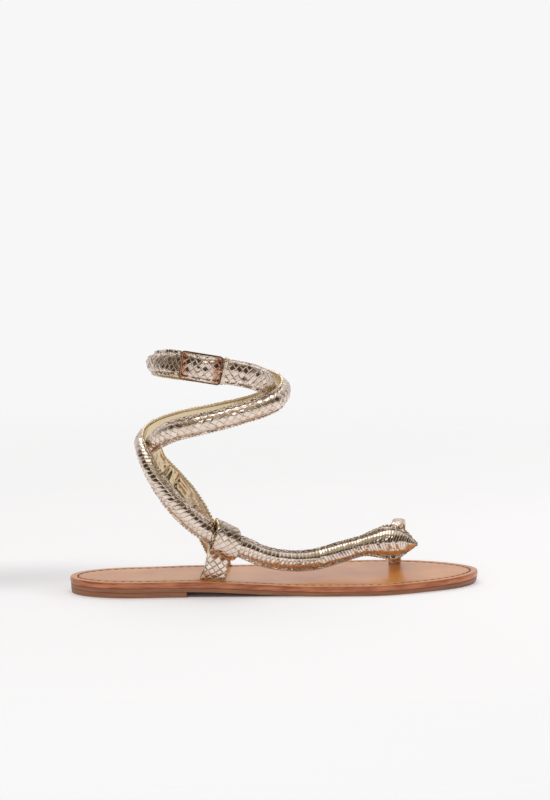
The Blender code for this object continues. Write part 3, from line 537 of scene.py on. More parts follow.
# Along the sole's length, across the ball's half width, height as a share of the buckle's, facing and lean in
# degrees, and width and pad as shares, which are 1 where a row leaves them out
SNAKE_FOOT_ROWS = (
    (0.861, 0.500, 0.146, 277, 10, 0.10, 0.15),
    (0.850, 0.501, 0.148, 277, 10, 0.48, 0.50),
    (0.832, 0.503, 0.152, 277, 10, 1.12, 0.98),
    (0.810, 0.500, 0.157, 278, 10, 1.57, 1.28),
    (0.790, 0.482, 0.159, 280, 10, 1.66, 1.38),
    (0.762, 0.445, 0.157, 283, 15, 1.40, 1.24),
    (0.726, 0.370, 0.152, 287, 21, 1.02, 1.05),
    (0.667, 0.235, 0.134, 292, 25),
    (0.586, 0.012, 0.114, 293, 26),
    (0.529, -0.150, 0.122, 291, 25),
    (0.457, -0.310, 0.158, 284, 20),
    (0.418, -0.385, 0.194, 278, 12),
    (0.370, -0.455, 0.234, 270, 6),
    (0.293, -0.550, 0.322, 257, 3),
)
MEDIAL_FOOT_ROWS = (
    (0.381, 0.690, 0.070, 92, 0, 0.96, 0.30),
    (0.373, 0.730, 0.115, 93, 0, 0.98, 0.80),
    (0.353, 0.745, 0.190, 95, 0),
    (0.335, 0.745, 0.262, 98, 0),
    (0.306, 0.725, 0.351, 104, 0),
    (0.266, 0.650, 0.442, 118, 0),
    (0.231, 0.520, 0.518, 135, 0),
)
# Turn round the ankle in degrees, height as a share of the buckle's, layer, width, pad
SNAKE_ANKLE_ROWS = (
    (230, 0.412, 0.40),
    (210, 0.518, 0.95),
    (195, 0.580, 1.00),
    (180, 0.618, 1.00),
    (160, 0.648, 1.00),
    (140, 0.671, 0.75),
    (115, 0.695, 0.20),
    (90, 0.713, 0.00),
    (65, 0.737, 0.00),
    (40, 0.768, 0.00),
    (20, 0.798, 0.00, 1.02, 0.90),
    (0, 0.837, 0.00, 1.05, 0.60),
    (-20, 0.878, 0.00, 1.10, 0.30),
    (-45, 0.926, 0.03, 1.13, 0.20),
    (-68, 0.959, 0.18, 1.15, 0.18),
    (-84, 0.975, 0.21, 1.16, 0.17),
    (-93, 0.984, 0.19, 1.17, 0.16),
    (-97, 0.987, 0.36, 1.17, 0.16),
    (-101, 0.990, 0.54, 1.17, 0.16),
    (-110, 0.994, 0.58, 1.17, 0.16),
    (-118, 0.999, 0.50, 1.17, 0.15),
    (-124, 1.002, 0.35, 1.17, 0.13),
    (-130, 1.004, 0.27, 1.14, 0.10),
)
MEDIAL_ANKLE_ROWS = (
    (158, 0.596, 0.00),
    (180, 0.634, 0.00),
    (200, 0.670, 0.00),
    (225, 0.715, 0.00),
    (250, 0.746, 0.00),
    (270, 0.768, 0.05),
    (295, 0.798, 0.40),
    (315, 0.820, 0.85),
    (335, 0.840, 1.00),
    (360, 0.861, 1.00),
    (385, 0.874, 1.00),
    (405, 0.882, 0.75),
    (425, 0.890, 0.25),
    (450, 0.900, 0.00),
    (480, 0.922, 0.00),
    (510, 0.950, 0.10),
    (540, 0.983, 0.22, 1.08, 0.95),
    (555, 0.992, 0.12, 1.20, 0.62),
    (566, 0.998, 0.02, 1.25, 0.36),
    (577, 1.001, 0.00, 1.25, 0.22),
    (583, 1.002, 0.00, 1.22, 0.12),
    (588, 1.002, 0.00, 1.17, 0.05),
    (598, 0.998, 0.00, 1.15, 0.00),
    (613, 0.990, 0.00, 1.00, 0.00),
)
# Turn round the ankle, and how far the strap's face leans up there, in degrees
SNAKE_LEANS = ((0, 4.0),)
MEDIAL_LEANS = ((158, 7.0), (535, 7.0), (558, 25.0), (582, 25.0), (600, 14.0), (613, 11.0))
STRAP_STEP = 0.00050


def unit(vectors):
    """Vectors divided by their lengths."""
    return vectors / np.linalg.norm(vectors, axis=-1, keepdims=True)


def directions(path, closed=False):
    """Unit tangents of a path, from the point before each to the one after, round the end if it is closed."""
    return unit(np.roll(path, -1, axis=0) - np.roll(path, 1, axis=0) if closed else np.gradient(path, axis=0))


def square_to(tangent, vectors):
    """Unit vectors with their part along the tangent taken out."""
    return unit(vectors - tangent * np.sum(vectors * tangent, axis=1, keepdims=True))


def even_path(rows, spacing):
    """Rows that start with a point, on a smooth curve through them, about every spacing along it."""
    rows = np.asarray(rows, float)
    at = distance_along(rows[:, :3])
    fine = smooth_through(rows, at, np.linspace(0.0, at[-1], 200 * len(rows)))
    run = distance_along(fine[:, :3])
    wanted = np.linspace(0.0, run[-1], max(2, int(round(run[-1] / spacing))) + 1)
    return np.stack([np.interp(wanted, run, column) for column in fine.T], axis=1)


def ankle_centre(height):
    """The ankle's middle along the sole at a height: it leans forwards evenly."""
    return HEEL_BACK + ANKLE_ALONG * SOLE_LENGTH + ANKLE_LEAN * (height - ANKLE_MIDDLE_HEIGHT)


def filled(rows, length):
    """Rows with 1 for each last value that they leave out."""
    return [(*row, *[1.0] * (length - len(row))) for row in rows]


def foot_rows(rows):
    """Strap rows on the foot as point, facing, lean, width and pad."""
    return [
        (HEEL_BACK + along * SOLE_LENGTH, across * BALL_WIDTH / 2.0, height * BUCKLE_HEIGHT, *rest)
        for along, across, height, *rest in filled(rows, 7)
    ]


def ankle_rows(rows, leans, step=8.0):
    """Strap rows wound on the ankle's oval: its two radii, plus the layer's, times the turn's cos and sin."""
    table = np.array(filled(rows, 5))
    at = table[:, 0] * np.sign(table[1, 0] - table[0, 0])
    places = np.linspace(at[0], at[-1], int(round((at[-1] - at[0]) / step)) + 1)
    result = []
    for turn, height, layer, width, pad in smooth_through(table, at, places):
        level, angle, off = height * BUCKLE_HEIGHT, math.radians(turn), max(layer, 0.0) * LAYER_STEP
        long, wide = ANKLE_HALF_LENGTH + off, ANKLE_HALF_WIDTH + off
        x = ankle_centre(level) + long * math.cos(angle)
        y = ANKLE_SHIFT + wide * math.sin(angle)
        facing = math.degrees(math.atan2(math.sin(angle) / wide, math.cos(angle) / long))
        facing += 360.0 * round((turn - facing) / 360.0)
        lean = float(np.interp(turn, *zip(*leans)))
        result.append((x, y, level, facing, lean, width, max(pad, 0.0)))
    return result


def strap_frames(rows, spacing):
    """Stations along a strap: middle of its lining, outward, upward across its width, width, pad."""
    path = even_path(rows, spacing)
    middle = path[:, :3]
    tangent = directions(middle)
    facing, lean = np.radians(path[:, 3]), np.radians(path[:, 4])
    outward = np.stack(
        [np.cos(facing) * np.cos(lean), np.sin(facing) * np.cos(lean), np.sin(lean)], axis=1
    )
    outward = square_to(tangent, outward)
    upward = np.cross(tangent, outward)
    upward *= np.where(upward[:, 2:3] < 0.0, -1.0, 1.0)
    return middle, outward, upward, path[:, 5], path[:, 6]


# The strap's section: a flat lining, two flanges, a stitched seam beside each, and between them a dome that
# is a superellipse. Columns are across and outwards as shares, how far the face is the embossed one, and
# which part of the section they are.
DOME_COLUMNS = 40
HEM = 0.84
lining_half = np.array([0.12, 0.36, 0.58, 0.74, 0.79, 0.82, 0.84, 0.86, 0.89, 0.96])
lining_across = np.concatenate([-lining_half[::-1], lining_half])
LINING_COLUMNS = len(lining_across)
LINING, FLANGE, DOME = 0, 1, 2
DOME_HALF = 0.71
DOME_POWERS = (2.3, 1.8)
SEAM_DEPTH, SEAM_PITCH, HEM_DEPTH = 0.00040, 0.0031, 0.00045
dome_turn = np.linspace(0.0, math.pi, DOME_COLUMNS)
dome_across = DOME_HALF * np.sign(np.cos(dome_turn)) * np.abs(np.cos(dome_turn)) ** (2.0 / DOME_POWERS[0])
dome_up = np.sin(dome_turn).clip(0.0) ** (2.0 / DOME_POWERS[1])
flange = np.array([1.0, 1.0, 0.975, 0.92, 0.86, 0.80, 0.76])
SIDE_COLUMNS = len(flange)
section_across = np.concatenate([lining_across, flange, dome_across, -flange[::-1]])
side_flat = np.array([0.15, 0.85, 1.0, 1.0, 1.0, 1.0, 1.0])
section_flat = np.concatenate([np.zeros(LINING_COLUMNS), side_flat, np.ones(DOME_COLUMNS), side_flat[::-1]])
section_dome = np.concatenate([np.zeros(LINING_COLUMNS + SIDE_COLUMNS), dome_up, np.zeros(SIDE_COLUMNS)])
section_face = np.where(section_flat >= 1.0, 1.0, 0.3 * section_flat)
part_columns = [LINING_COLUMNS, SIDE_COLUMNS, DOME_COLUMNS, SIDE_COLUMNS]
section_part = np.repeat([LINING, FLANGE, DOME, FLANGE], part_columns)
CREST = LINING_COLUMNS + SIDE_COLUMNS + DOME_COLUMNS // 2

SCALE_WIDTH = 0.0050
LADDER_WIDTH = 0.0045
# The buckle's middle from the snake strap's end, the punched hole there, painted dark as its shade, and the
# painted rosy shade on the strap beside the buckle's two bars, where it dips under them: its middle and half
# width
BUCKLE_FROM_END, HOLE_ACROSS, HOLE_RADIUS = 0.0126, 0.0004, 0.00085
PAINTED_BAR_SHADES = ((0.0102, 0.0020), (-0.0104, 0.0030))
TOOTH_PITCH, TOOTH_REACH, TOOTH_CUT = 0.0021, 0.0002, 0.0010
SCALE_RELIEF = 0.00013
SLOPE_WIDTH, GROOVE_SHARE = 0.00045, 0.12
SCALE_FLATNESS, LADDER_FLATNESS = 0.80, 0.40
TOOTH_LEAN = 0.48
# How far the lines of scales wander, and over what lengths
WANDER, WANDER_WAVES = 0.00025, (0.0037, 0.0021, 0.0053)
RUNG_BEND = 0.30
BELLY_EDGE = 0.0004
# A cell reaches this far from its middle in its own units, and a net's cell is this share of a scale long
CELL_HALF, NET_CELL = 0.5, 0.7
# The teeth are cells apart from the ladder's: the two flanges' rows have the numbers just below and above this
FLANGE_ROW = 100.0
# Share of the strip's length, then in mm the ladder's low and high edge across, its pitch and a net scale's
# length, and how much the scales lean. A ladder from -9 to -8 lies off the strip, so the net covers it all.
PLAIN_NET = ((0.0, -9.0, -8.0, 3.0, 4.6, 0.13),)


def cell_means(values, cell):
    """The mean of a vector over each cell, given back at every point of that cell."""
    columns = values.reshape(-1, values.shape[-1]).T
    sums = np.stack([np.bincount(cell, column) for column in columns], axis=1)
    return (sums / np.bincount(cell)[:, None])[cell].reshape(values.shape)


def embossed(points, crest, part, face, skin_rows):
    """A strip's grid with its scales in relief, and the values its finish needs.

    A point's place in the skin is u and v, along and across in scale lengths and widths with a slow sine
    wander, and the ladder rungs passed. The net's cells are squares round the whole numbers of u + v and
    u - v, the ladder's are the rungs' whole numbers, and a flange's are its teeth. Each cell's points move
    towards the plane through their mean square to their mean normal, then lean by chance, and the grooves
    between cells stay low: relief is a smoothstep of the distance from the cell's edge."""
    run = distance_along(points[:, crest])
    across = np.linalg.norm(np.diff(points, axis=1), axis=-1)
    across = np.concatenate([np.zeros((len(points), 1)), np.cumsum(across, axis=1)], axis=1)
    across -= across[:, crest : crest + 1]
    rows = np.array(skin_rows)
    along = run / run[-1]
    low, high, pitch, length = [np.interp(along, rows[:, 0], column) / 1000.0 for column in rows[:, 1:5].T]
    leaning = np.interp(along, rows[:, 0], rows[:, 5])
    passed = np.concatenate([[0.0], np.cumsum(np.diff(run) / pitch[:-1])])[:, None]
    scales = np.concatenate([[0.0], np.cumsum(np.diff(run) / length[:-1])])[:, None]
    wave_along, wave_across, slow_wave = WANDER_WAVES
    u = scales + WANDER * np.sin(run[:, None] / wave_along + across / wave_across) / length[:, None]
    v = (across + WANDER * np.sin(run[:, None] / slow_wave)) / SCALE_WIDTH
    rung = passed + RUNG_BEND * np.abs(across) / pitch[:, None]
    belly = np.minimum(across - low[:, None], high[:, None] - across)
    part, face = np.broadcast_to(part, across.shape), np.broadcast_to(face, across.shape)
    tooth = np.broadcast_to(run[:, None] / TOOTH_PITCH, across.shape)
    rung = np.where(part == FLANGE, tooth, rung)
    belly = np.where(part == FLANGE, BELLY_EDGE, belly)
    in_ladder = belly > 0.0
    bricks = np.where(part == FLANGE, FLANGE_ROW + np.sign(across), np.floor(across / LADDER_WIDTH))
    keys = np.where(in_ladder, np.round(rung), np.round(u + v)), np.where(in_ladder, bricks, np.round(u - v))
    keys = np.stack([*keys, in_ladder], axis=-1).reshape(-1, 3)
    cell = np.unique(keys, axis=0, return_inverse=True)[1].ravel()

    normal = np.cross(np.roll(points, -1, axis=1) - np.roll(points, 1, axis=1), np.gradient(points, axis=0))
    normal = unit(normal + 1e-12)
    normal *= np.sign(np.sum(normal * (points - points.mean(axis=1, keepdims=True))))
    facing = unit(cell_means(normal, cell))
    offset = points - cell_means(points, cell)
    level = np.sum(offset * facing, axis=-1)
    chance = np.random.default_rng(5).uniform(-1.0, 1.0, (cell.max() + 1, 3))[cell].reshape(points.shape)
    lean = np.where(part == FLANGE, TOOTH_LEAN, leaning[:, None]) * np.sum(offset * chance, axis=-1)
    flatness = np.where(part == FLANGE, 0.0, np.where(in_ladder, LADDER_FLATNESS, SCALE_FLATNESS))
    net = np.maximum(np.abs(u + v - np.round(u + v)), np.abs(u - v - np.round(u - v)))
    off = np.where(in_ladder, np.abs(rung - np.round(rung)), net)
    slope = SLOPE_WIDTH / np.where(in_ladder, pitch[:, None], NET_CELL * length[:, None])
    relief = smoothstep((CELL_HALF - off) / slope) * smoothstep(np.abs(belly) / BELLY_EDGE) * SCALE_RELIEF
    moved = face * (relief + lean - flatness * level)
    values = {"skin": np.stack([u, v, rung], axis=-1), "belly": belly, "face": face}
    return points + facing * moved[..., None], values


def closed_tube(grid):
    """A grid's points and faces, with each of its two end rows closed by a fan to that row's middle."""
    rows, columns, _ = grid.shape
    faces = grid_faces(rows, columns).tolist()
    for start, tip in ((0, rows * columns), ((rows - 1) * columns, rows * columns + 1)):
        faces += [(start + k, start + (k + 1) % columns, tip) for k in range(columns)]
    return np.concatenate([grid.reshape(-1, 3), [grid[0].mean(axis=0), grid[-1].mean(axis=0)]]), faces


def leather_strip(name, points, face, part, crest, node, skin_rows=PLAIN_NET, closed=False, extra=None):
    """A strip of embossed leather from its grid: rows run along it, columns round its section."""
    rows, columns, _ = points.shape
    points, values = embossed(points, crest, part, face, skin_rows)
    values |= extra or {}
    values = {key: value.reshape(rows * columns, -1).squeeze() for key, value in values.items()}
    if closed:
        flat, faces = points.reshape(-1, 3), grid_faces(rows, columns, closed_rows=True)
    else:
        flat, faces = closed_tube(points)
        values = {key: np.concatenate([value, value[[0, -1]]]) for key, value in values.items()}
    return new_piece(name, flat, faces, snake_leather, values, (node,))


# Foiled leather: a mirror-like champagne film on embossed leather. Each scale is polished and tilted its
# own way, so neighbours catch different parts of the room; the grooves are matt and browner. The lining is
# the same foil, plain. The foil crumples over this many mm, and a punched hole's rim runs between these
# shares of its value.
CRUMPLE_SIZE, HOLE_RIM = 2.381, (0.42, 0.55)
snake_leather, tree, shader = new_finish("foiled_snake_leather")
skin = add_node(tree, "Attribute", {"attribute_name": "skin"}).outputs["Vector"]
belly, face, rosy_spot_and_painted_shade, punched = [
    add_node(tree, "Attribute", {"attribute_name": name}).outputs["Fac"]
    for name in ("belly", "face", "rosy_spot_and_painted_shade", "punched")
]
place = add_node(tree, "TexCoord").outputs["Object"]
root_two = math.sqrt(2.0)
net = add_node(
    tree,
    "Mapping",
    {"Scale": (root_two, root_two, 0.0), "Rotation": (0.0, 0.0, -math.pi / 4.0)},
    {"Vector": skin},
)
rungs = add_node(tree, "SeparateXYZ", links={0: skin}).outputs["Z"]
ladder = add_node(tree, "CombineXYZ", {"Y": 100.0}, {"X": rungs})
in_belly = add_node(tree, "Math", {"operation": "GREATER_THAN", 1: 0.0}, {0: belly})
cells = add_node(tree, "Mix", {"data_type": "VECTOR"}, {0: in_belly, 4: net, 5: ladder})
scale = add_node(
    tree,
    "TexVoronoi",
    {"voronoi_dimensions": "2D", "distance": "CHEBYCHEV", "Scale": 1.0, "Randomness": 0.0},
    {"Vector": cells.outputs[1]},
)
pillow = add_node(
    tree,
    "MapRange",
    {"interpolation_type": "SMOOTHSTEP", "From Min": CELL_HALF, "From Max": CELL_HALF - GROOVE_SHARE},
    {"Value": scale.outputs["Distance"]},
)
crumple = add_node(tree, "TexNoise", {"Scale": 1000.0 / CRUMPLE_SIZE, "Detail": 2.0}, {"Vector": place})
height = add_node(tree, "Math", {"operation": "MULTIPLY_ADD", 1: 0.8}, {0: crumple, 2: pillow})
plain = add_node(tree, "Math", {"operation": "MULTIPLY", 1: 0.5}, {0: crumple})
relief = add_node(tree, "Mix", {"data_type": "FLOAT"}, {0: face, 2: plain, 3: height})
bump = add_node(tree, "Bump", {"Strength": 1.0, "Distance": 0.00012}, {"Height": relief})
chance = add_node(tree, "SeparateColor", links={0: scale.outputs["Color"]}).outputs[2]
scale_tone = add_node(tree, "ValToRGB", None, {0: chance}, ((0.0, "e2d2c4"), (1.0, "f1e4da")))
# The punched hole is not cut: it is painted near black as the shade inside it, and has no foil
hole = add_node(tree, "MapRange", {"From Min": HOLE_RIM[0], "From Max": HOLE_RIM[1]}, {"Value": punched})
# A plain colour on one side of each share, at input 6 where the share is 0 or at input 7 where it is 1: for
# the grooves, the lining, the rosy places (the painted shade by the buckle's bars and the keeper's rosy spot)
# and the hole, painted near black as its shade
tone = scale_tone
for share, side, code in (
    (pillow, 6, "d8bfa8"),
    (face, 6, "dccaa8"),
    (rosy_spot_and_painted_shade, 7, "c29274"),
    (hole, 7, "1d120c"),
):
    tone = add_node(tree, "Mix", {"data_type": "RGBA", side: hex_colour(code)}, {0: share, 13 - side: tone})
    tone = tone.outputs[2]
foil = add_node(tree, "Math", {"operation": "SUBTRACT", 0: 1.0}, {1: hole})
polish = add_node(tree, "MapRange", {"To Min": 0.32, "To Max": 0.14}, {"Value": pillow})
satin = add_node(tree, "Mix", {"data_type": "FLOAT", 2: 0.20}, {0: face, 3: polish})
set_node(tree, shader, links={"Base Color": tone, "Metallic": foil, "Roughness": satin, "Normal": bump})

# The two straps as they are put together: the foiled leather is folded round a cord and sewn down beside it.
# The snake strap has broad belly scales, finest on its head, and a net only near the buckle. The medial strap
# has the net all along. Their edges are cut scale by scale.
SNAKE_SKIN_ROWS = (
    (0.00, -9.0, 9.0, 1.6, 2.6, 0.10),
    (0.08, -9.0, 9.0, 1.8, 2.6, 0.10),
    (0.14, -9.0, 9.0, 2.2, 2.8, 0.08),
    (0.16, -9.0, 1.0, 2.6, 2.9, 0.07),
    (0.36, -9.0, 1.0, 3.6, 3.4, 0.07),
    (0.40, -9.0, 1.0, 3.0, 3.4, 0.10),
    (0.60, -9.0, 0.5, 2.8, 4.4, 0.12),
    (0.70, -9.0, -8.0, 3.0, 5.0, 0.14),
    (0.94, -9.0, -8.0, 3.0, 4.7, 0.17),
    (1.00, -9.0, -8.0, 3.0, 4.2, 0.17),
)
MEDIAL_SKIN_ROWS = (
    (0.00, -9.0, -8.0, 3.0, 4.4, 0.14),
    (0.50, -9.0, -8.0, 3.0, 5.2, 0.12),
    (0.88, -9.0, -8.0, 3.0, 4.8, 0.14),
    (0.93, -9.0, -8.0, 3.0, 3.4, 0.17),
    (1.00, -9.0, -8.0, 3.0, 3.4, 0.17),
)

# Creases pressed in where the straps bend or are pinched: share of the strap's length, middle across its half
# width, half length and half width in mm, turn from the strap's direction in degrees, depth in mm
SNAKE_CREASES = (
    (0.455, 0.10, 3.0, 0.7, 78, 0.5),
    (0.470, -0.05, 3.4, 0.6, 96, 0.4),
    (0.640, 0.30, 2.6, 0.6, 70, 0.4),
    (0.655, 0.20, 3.2, 0.7, 84, 0.5),
)
MEDIAL_CREASES = (
    (0.163, 0.00, 4.5, 0.9, 62, 1.7),
    (0.174, 0.25, 4.0, 0.8, 40, 1.6),
    (0.183, -0.30, 5.0, 0.9, 74, 1.9),
    (0.192, 0.10, 3.5, 0.8, 98, 1.5),
    (0.200, 0.35, 3.6, 0.8, 24, 1.5),
    (0.112, -0.45, 9.0, 1.0, 4, 1.8),
    (0.126, 0.05, 10.0, 1.1, -6, 1.9),
    (0.142, 0.50, 9.0, 1.0, 2, 1.8),
    (0.150, -0.15, 6.0, 0.9, 14, 1.6),
    (0.215, -0.20, 7.0, 1.1, 8, 1.5),
    (0.225, 0.35, 8.0, 1.0, -4, 1.1),
    (0.300, 0.00, 3.2, 0.7, 88, 0.4),
    (0.560, 0.20, 3.0, 0.6, 80, 0.4),
    (0.575, -0.10, 3.0, 0.6, 98, 0.4),
)
# The low part of the medial strap shows the scales through its lining as well: where it ends and how far it
# fades, as shares of the length, and how much they show
THROUGH_LINING = (0.150, 0.040, 0.35)
# The tube has a soft ridge: its lower half is fuller, its height taken to this power, and falls evenly by a
# share that grows from the head to the neck: shares of the strap's length, and shares of the height
LOWER_FULLNESS = 0.15
LOWER_SLOPES = (0.10, 0.18), (0.24, 0.42)
# Across the half width: where the cut teeth begin and how far they fade in, the seam and its half width, and
# the hem's half width. Along it, as shares of a pitch: where the cut between two teeth begins and how far it
# deepens, and the length of a hem stitch.
RIM_START, RIM_FADE = 0.84, 0.12
SEAM_ACROSS, SEAM_HALF, HEM_HALF = 0.77, 0.045, 0.028
CUT_START, CUT_FADE, HEM_STITCH = 0.22, 0.28, 0.72


def strap_surface(frames, creases):
    """A strap's outside as a grid: its section carried along its stations, with seams, cut edges and creases.

    The cut between two teeth has its own depth, by a sine of its number, and the seams are shallower between
    two stitches. A crease is a dent that falls off as exp(-r^2) with the distance r from its middle in its
    two half sizes. It goes down on the lining and half as deep on the dome."""
    middle, outward, upward, width, pad = frames
    run = distance_along(middle)
    across = width[:, None] * section_across * STRAP_WIDTH / 2.0
    tooth = run / TOOTH_PITCH
    cut = smoothstep((np.abs(tooth - np.round(tooth)) - CUT_START) / CUT_FADE)
    uneven = 0.65 + 0.35 * np.sin(2.4 * np.round(tooth) + 1.3 * np.round(tooth) ** 2)
    rim = smoothstep((np.abs(section_across) - RIM_START) / RIM_FADE)
    across = across + np.sign(section_across) * rim * (TOOTH_REACH - cut * uneven * TOOTH_CUT)[:, None]
    in_seam = np.exp(-(((np.abs(section_across) - SEAM_ACROSS) / SEAM_HALF) ** 2)) * (section_flat >= 1.0)
    stitched = SEAM_DEPTH * (0.7 + 0.3 * np.cos(2.0 * math.pi * run / SEAM_PITCH))
    in_hem = np.exp(-(((np.abs(section_across) - HEM) / HEM_HALF) ** 2)) * (section_flat == 0.0)
    sewn = HEM_DEPTH * (0.35 + 0.65 * (np.mod(run / SEAM_PITCH, 1.0) < HEM_STITCH))
    slope = np.interp(run / run[-1], *LOWER_SLOPES)[:, None]
    lower = section_dome**LOWER_FULLNESS * (1.0 + slope * section_across / DOME_HALF)
    crown = np.where(section_across < 0.0, lower, section_dome)
    out = section_flat * FLAT_THICKNESS + pad[:, None] * crown * PAD_HEIGHT - stitched[:, None] * in_seam
    out = out + sewn[:, None] * in_hem
    for share, middle_across, long, wide, turned, deep in creases:
        along = run[:, None] - share * run[-1]
        aside = across - middle_across * STRAP_WIDTH / 2.0
        angle = math.radians(turned)
        far = (along * math.cos(angle) + aside * math.sin(angle)) / long
        near = (aside * math.cos(angle) - along * math.sin(angle)) / wide
        dent = deep / 1000.0 * np.exp(-1e6 * (far**2 + near**2))
        out = out + dent * np.where(section_flat > 0.0, -0.5 * section_dome, 1.0)
    return middle[:, None] + upward[:, None] * across[..., None] + outward[:, None] * out[..., None]


snake = strap_frames(foot_rows(SNAKE_FOOT_ROWS) + ankle_rows(SNAKE_ANKLE_ROWS, SNAKE_LEANS), STRAP_STEP)
medial_foot = foot_rows(MEDIAL_FOOT_ROWS)
root_level = float(insole_top(np.array([medial_foot[0][0]]))[0]) - INSOLE_THICKNESS / 2.0
medial_foot.insert(0, (*medial_foot[0][:2], root_level, *medial_foot[0][3:]))
medial = strap_frames(medial_foot + ankle_rows(MEDIAL_ANKLE_ROWS, MEDIAL_LEANS), STRAP_STEP)
for name, frames, creases, rows in (
    ("snake_strap", snake, SNAKE_CREASES, SNAKE_SKIN_ROWS),
    ("medial_strap", medial, MEDIAL_CREASES, MEDIAL_SKIN_ROWS),
):
    points = strap_surface(frames, creases)
    share = np.linspace(0.0, 1.0, len(points))[:, None]
    from_end = (1.0 - share) * distance_along(frames[0])[-1]
    extra, face = {}, section_face
    if name == "snake_strap":
        aside = frames[3][:, None] * section_across * STRAP_WIDTH / 2.0
        off = np.hypot(from_end - BUCKLE_FROM_END, aside - HOLE_ACROSS)
        extra["punched"] = np.clip(1.0 - off / (2.0 * HOLE_RADIUS), 0.0, 1.0)
        # Painted shade: a rosy tone on the strap beside each of the buckle's bars
        painted_bar_shades = [np.exp(-(((from_end - BUCKLE_FROM_END - at) / wide) ** 2)) for at, wide in PAINTED_BAR_SHADES]
        extra["rosy_spot_and_painted_shade"] = np.broadcast_to(np.maximum(*painted_bar_shades), off.shape)
    else:
        low_part = smoothstep((THROUGH_LINING[0] - share) / THROUGH_LINING[1]) * THROUGH_LINING[2]
        face = np.where(section_part == LINING, low_part, section_face)
    strap = leather_strip(name + "_leather", points, face, section_part, CREST, name, rows, extra=extra)

# The keeper: a wide band of the same leather folded over the snake strap. Its lower side is set nearer the
# toe, and its two ends go down side by side into the insole.
KEEPER_WIDTH, KEEPER_THICKNESS = 0.0155, 0.0014
KEEPER_ALONG, KEEPER_ACROSS = 0.340, -0.430
KEEPER_FOLD_PLACE = (0.363, -0.460, 0.240)
KEEPER_SKEW = 0.0044
KEEPER_TURN = math.radians(7.0)
KEEPER_RISE_HEIGHT, KEEPER_RISE_SHIFT = 0.0040, 0.0010
KEEPER_FOLD_GAP = 0.00055
# Rosy spot at the foot of the near leg: share of the band's length and its size, across and its size
RAW_SPOT = (0.045, 0.030, -0.75, 0.45)
BAND_STEP = 0.00045
# Across the strap's half width, outwards in its thickness, and width as a share
KEEPER_FOLD_ROWS = (
    (-1.16, 0.18, 0.98),
    (-1.12, 0.48, 1.02),
    (-0.78, 1.02, 1.08),
    (-0.30, 1.28, 1.10),
    (0.30, 1.28, 1.10),
    (0.78, 1.02, 1.08),
    (1.12, 0.48, 1.06),
    (1.20, 0.06, 1.04),
    (0.95, -0.24, 1.02),
    (0.00, -0.27, 1.00),
    (-0.95, -0.24, 0.98),
)
# In the slot, at the insole's surface and above it: turned from the slot's line to the strap's, and width
KEEPER_LEG_ROWS = (
    (0.00, 1.10),
    (0.00, 1.08),
    (0.35, 0.97),
)


def strap_near(frames, wanted):
    """A strap's frame at its station nearest to a point, and the strap's direction towards its first row."""
    at = int(np.argmin(np.linalg.norm(frames[0] - wanted, axis=1)))
    before = frames[0][max(at - 4, 0)] - frames[0][min(at + 4, len(frames[0]) - 1)]
    return (*[values[at] for values in frames], unit(before))


BAND_COLUMNS, BAND_UNDER = 34, 8
band_across = np.concatenate(
    [np.linspace(-0.93, 0.93, BAND_UNDER), [1.0, 1.0], np.linspace(0.95, -0.95, BAND_COLUMNS), [-1.0, -1.0]]
)
band_out = np.concatenate([-np.ones(BAND_UNDER), [-0.55, 0.55], np.ones(BAND_COLUMNS), [0.55, -0.55]])
band_face = np.concatenate([np.zeros(BAND_UNDER), [0.1, 0.5], np.ones(BAND_COLUMNS), [0.5, 0.1]])
band_part = np.where(band_face > 0.0, DOME, LINING)
BAND_CREST = BAND_UNDER + 2 + BAND_COLUMNS // 2


def band_surface(middle, along, width, thickness, closed=False, crown=0.0):
    """A thin band as a grid, its outer face away from the band's middle and a parabola across, crown high."""
    tangent = directions(middle, closed)
    along = square_to(tangent, along)
    normal = np.cross(tangent, along)
    normal *= np.sign(np.sum(normal * (middle - middle.mean(axis=0))))
    half = np.broadcast_to(width, len(middle))[:, None] * band_across / 2.0
    out = band_out * thickness / 2.0 + crown * np.where(band_out > 0.9, 1.0 - band_across**2, 0.0)
    return middle[:, None] + along[:, None] * half[..., None] + normal[:, None] * out[None, :, None]


def sole_place(along, across, level):
    """A point from its shares of the sole's length and of the ball's half width, and its height."""
    return np.array([HEEL_BACK + along * SOLE_LENGTH, across * BALL_WIDTH / 2.0, level])


def level_of(x):
    """The insole's height at one place along it."""
    return float(insole_top(np.array([x]))[0])


fold_place = sole_place(*KEEPER_FOLD_PLACE[:2], KEEPER_FOLD_PLACE[2] * BUCKLE_HEIGHT)
along_strap = strap_near(snake, fold_place)[-1]
reach = KEEPER_THICKNESS / 2.0 + KEEPER_FOLD_GAP
fold = []
for across, out, _ in KEEPER_FOLD_ROWS:
    middle, outward, upward, *_ = strap_near(snake, fold_place - along_strap * (across * KEEPER_SKEW / 2.0))
    sideways = upward * (across * (STRAP_WIDTH / 2.0 + reach))
    fold.append(tuple(middle + sideways + outward * (out * (FLAT_THICKNESS + PAD_HEIGHT + reach))))
legs = []
for side in (-1.0, 1.0):
    x, y, _ = sole_place(KEEPER_ALONG, KEEPER_ACROSS, 0.0)
    y += side * (KEEPER_THICKNESS + SEAM) / 2.0
    top = level_of(x)
    bent = (x + KEEPER_RISE_SHIFT, y, top + KEEPER_RISE_HEIGHT)
    legs.append([(x, y, top - INSOLE_THICKNESS / 2.0), (x, y, top), bent])
turned, widths = zip(*KEEPER_LEG_ROWS)
turned = (*turned, *[1.0] * len(fold), *turned[::-1])
widths = (*widths, *[width for _, _, width in KEEPER_FOLD_ROWS], *widths[::-1])
path = even_path(np.column_stack([legs[0] + fold + legs[1][::-1], turned, widths]), BAND_STEP)
share = np.clip(path[:, 3:4], 0.0, 1.0)
along = (1.0 - share) * np.array([math.cos(KEEPER_TURN), math.sin(KEEPER_TURN), 0.0]) + share * along_strap
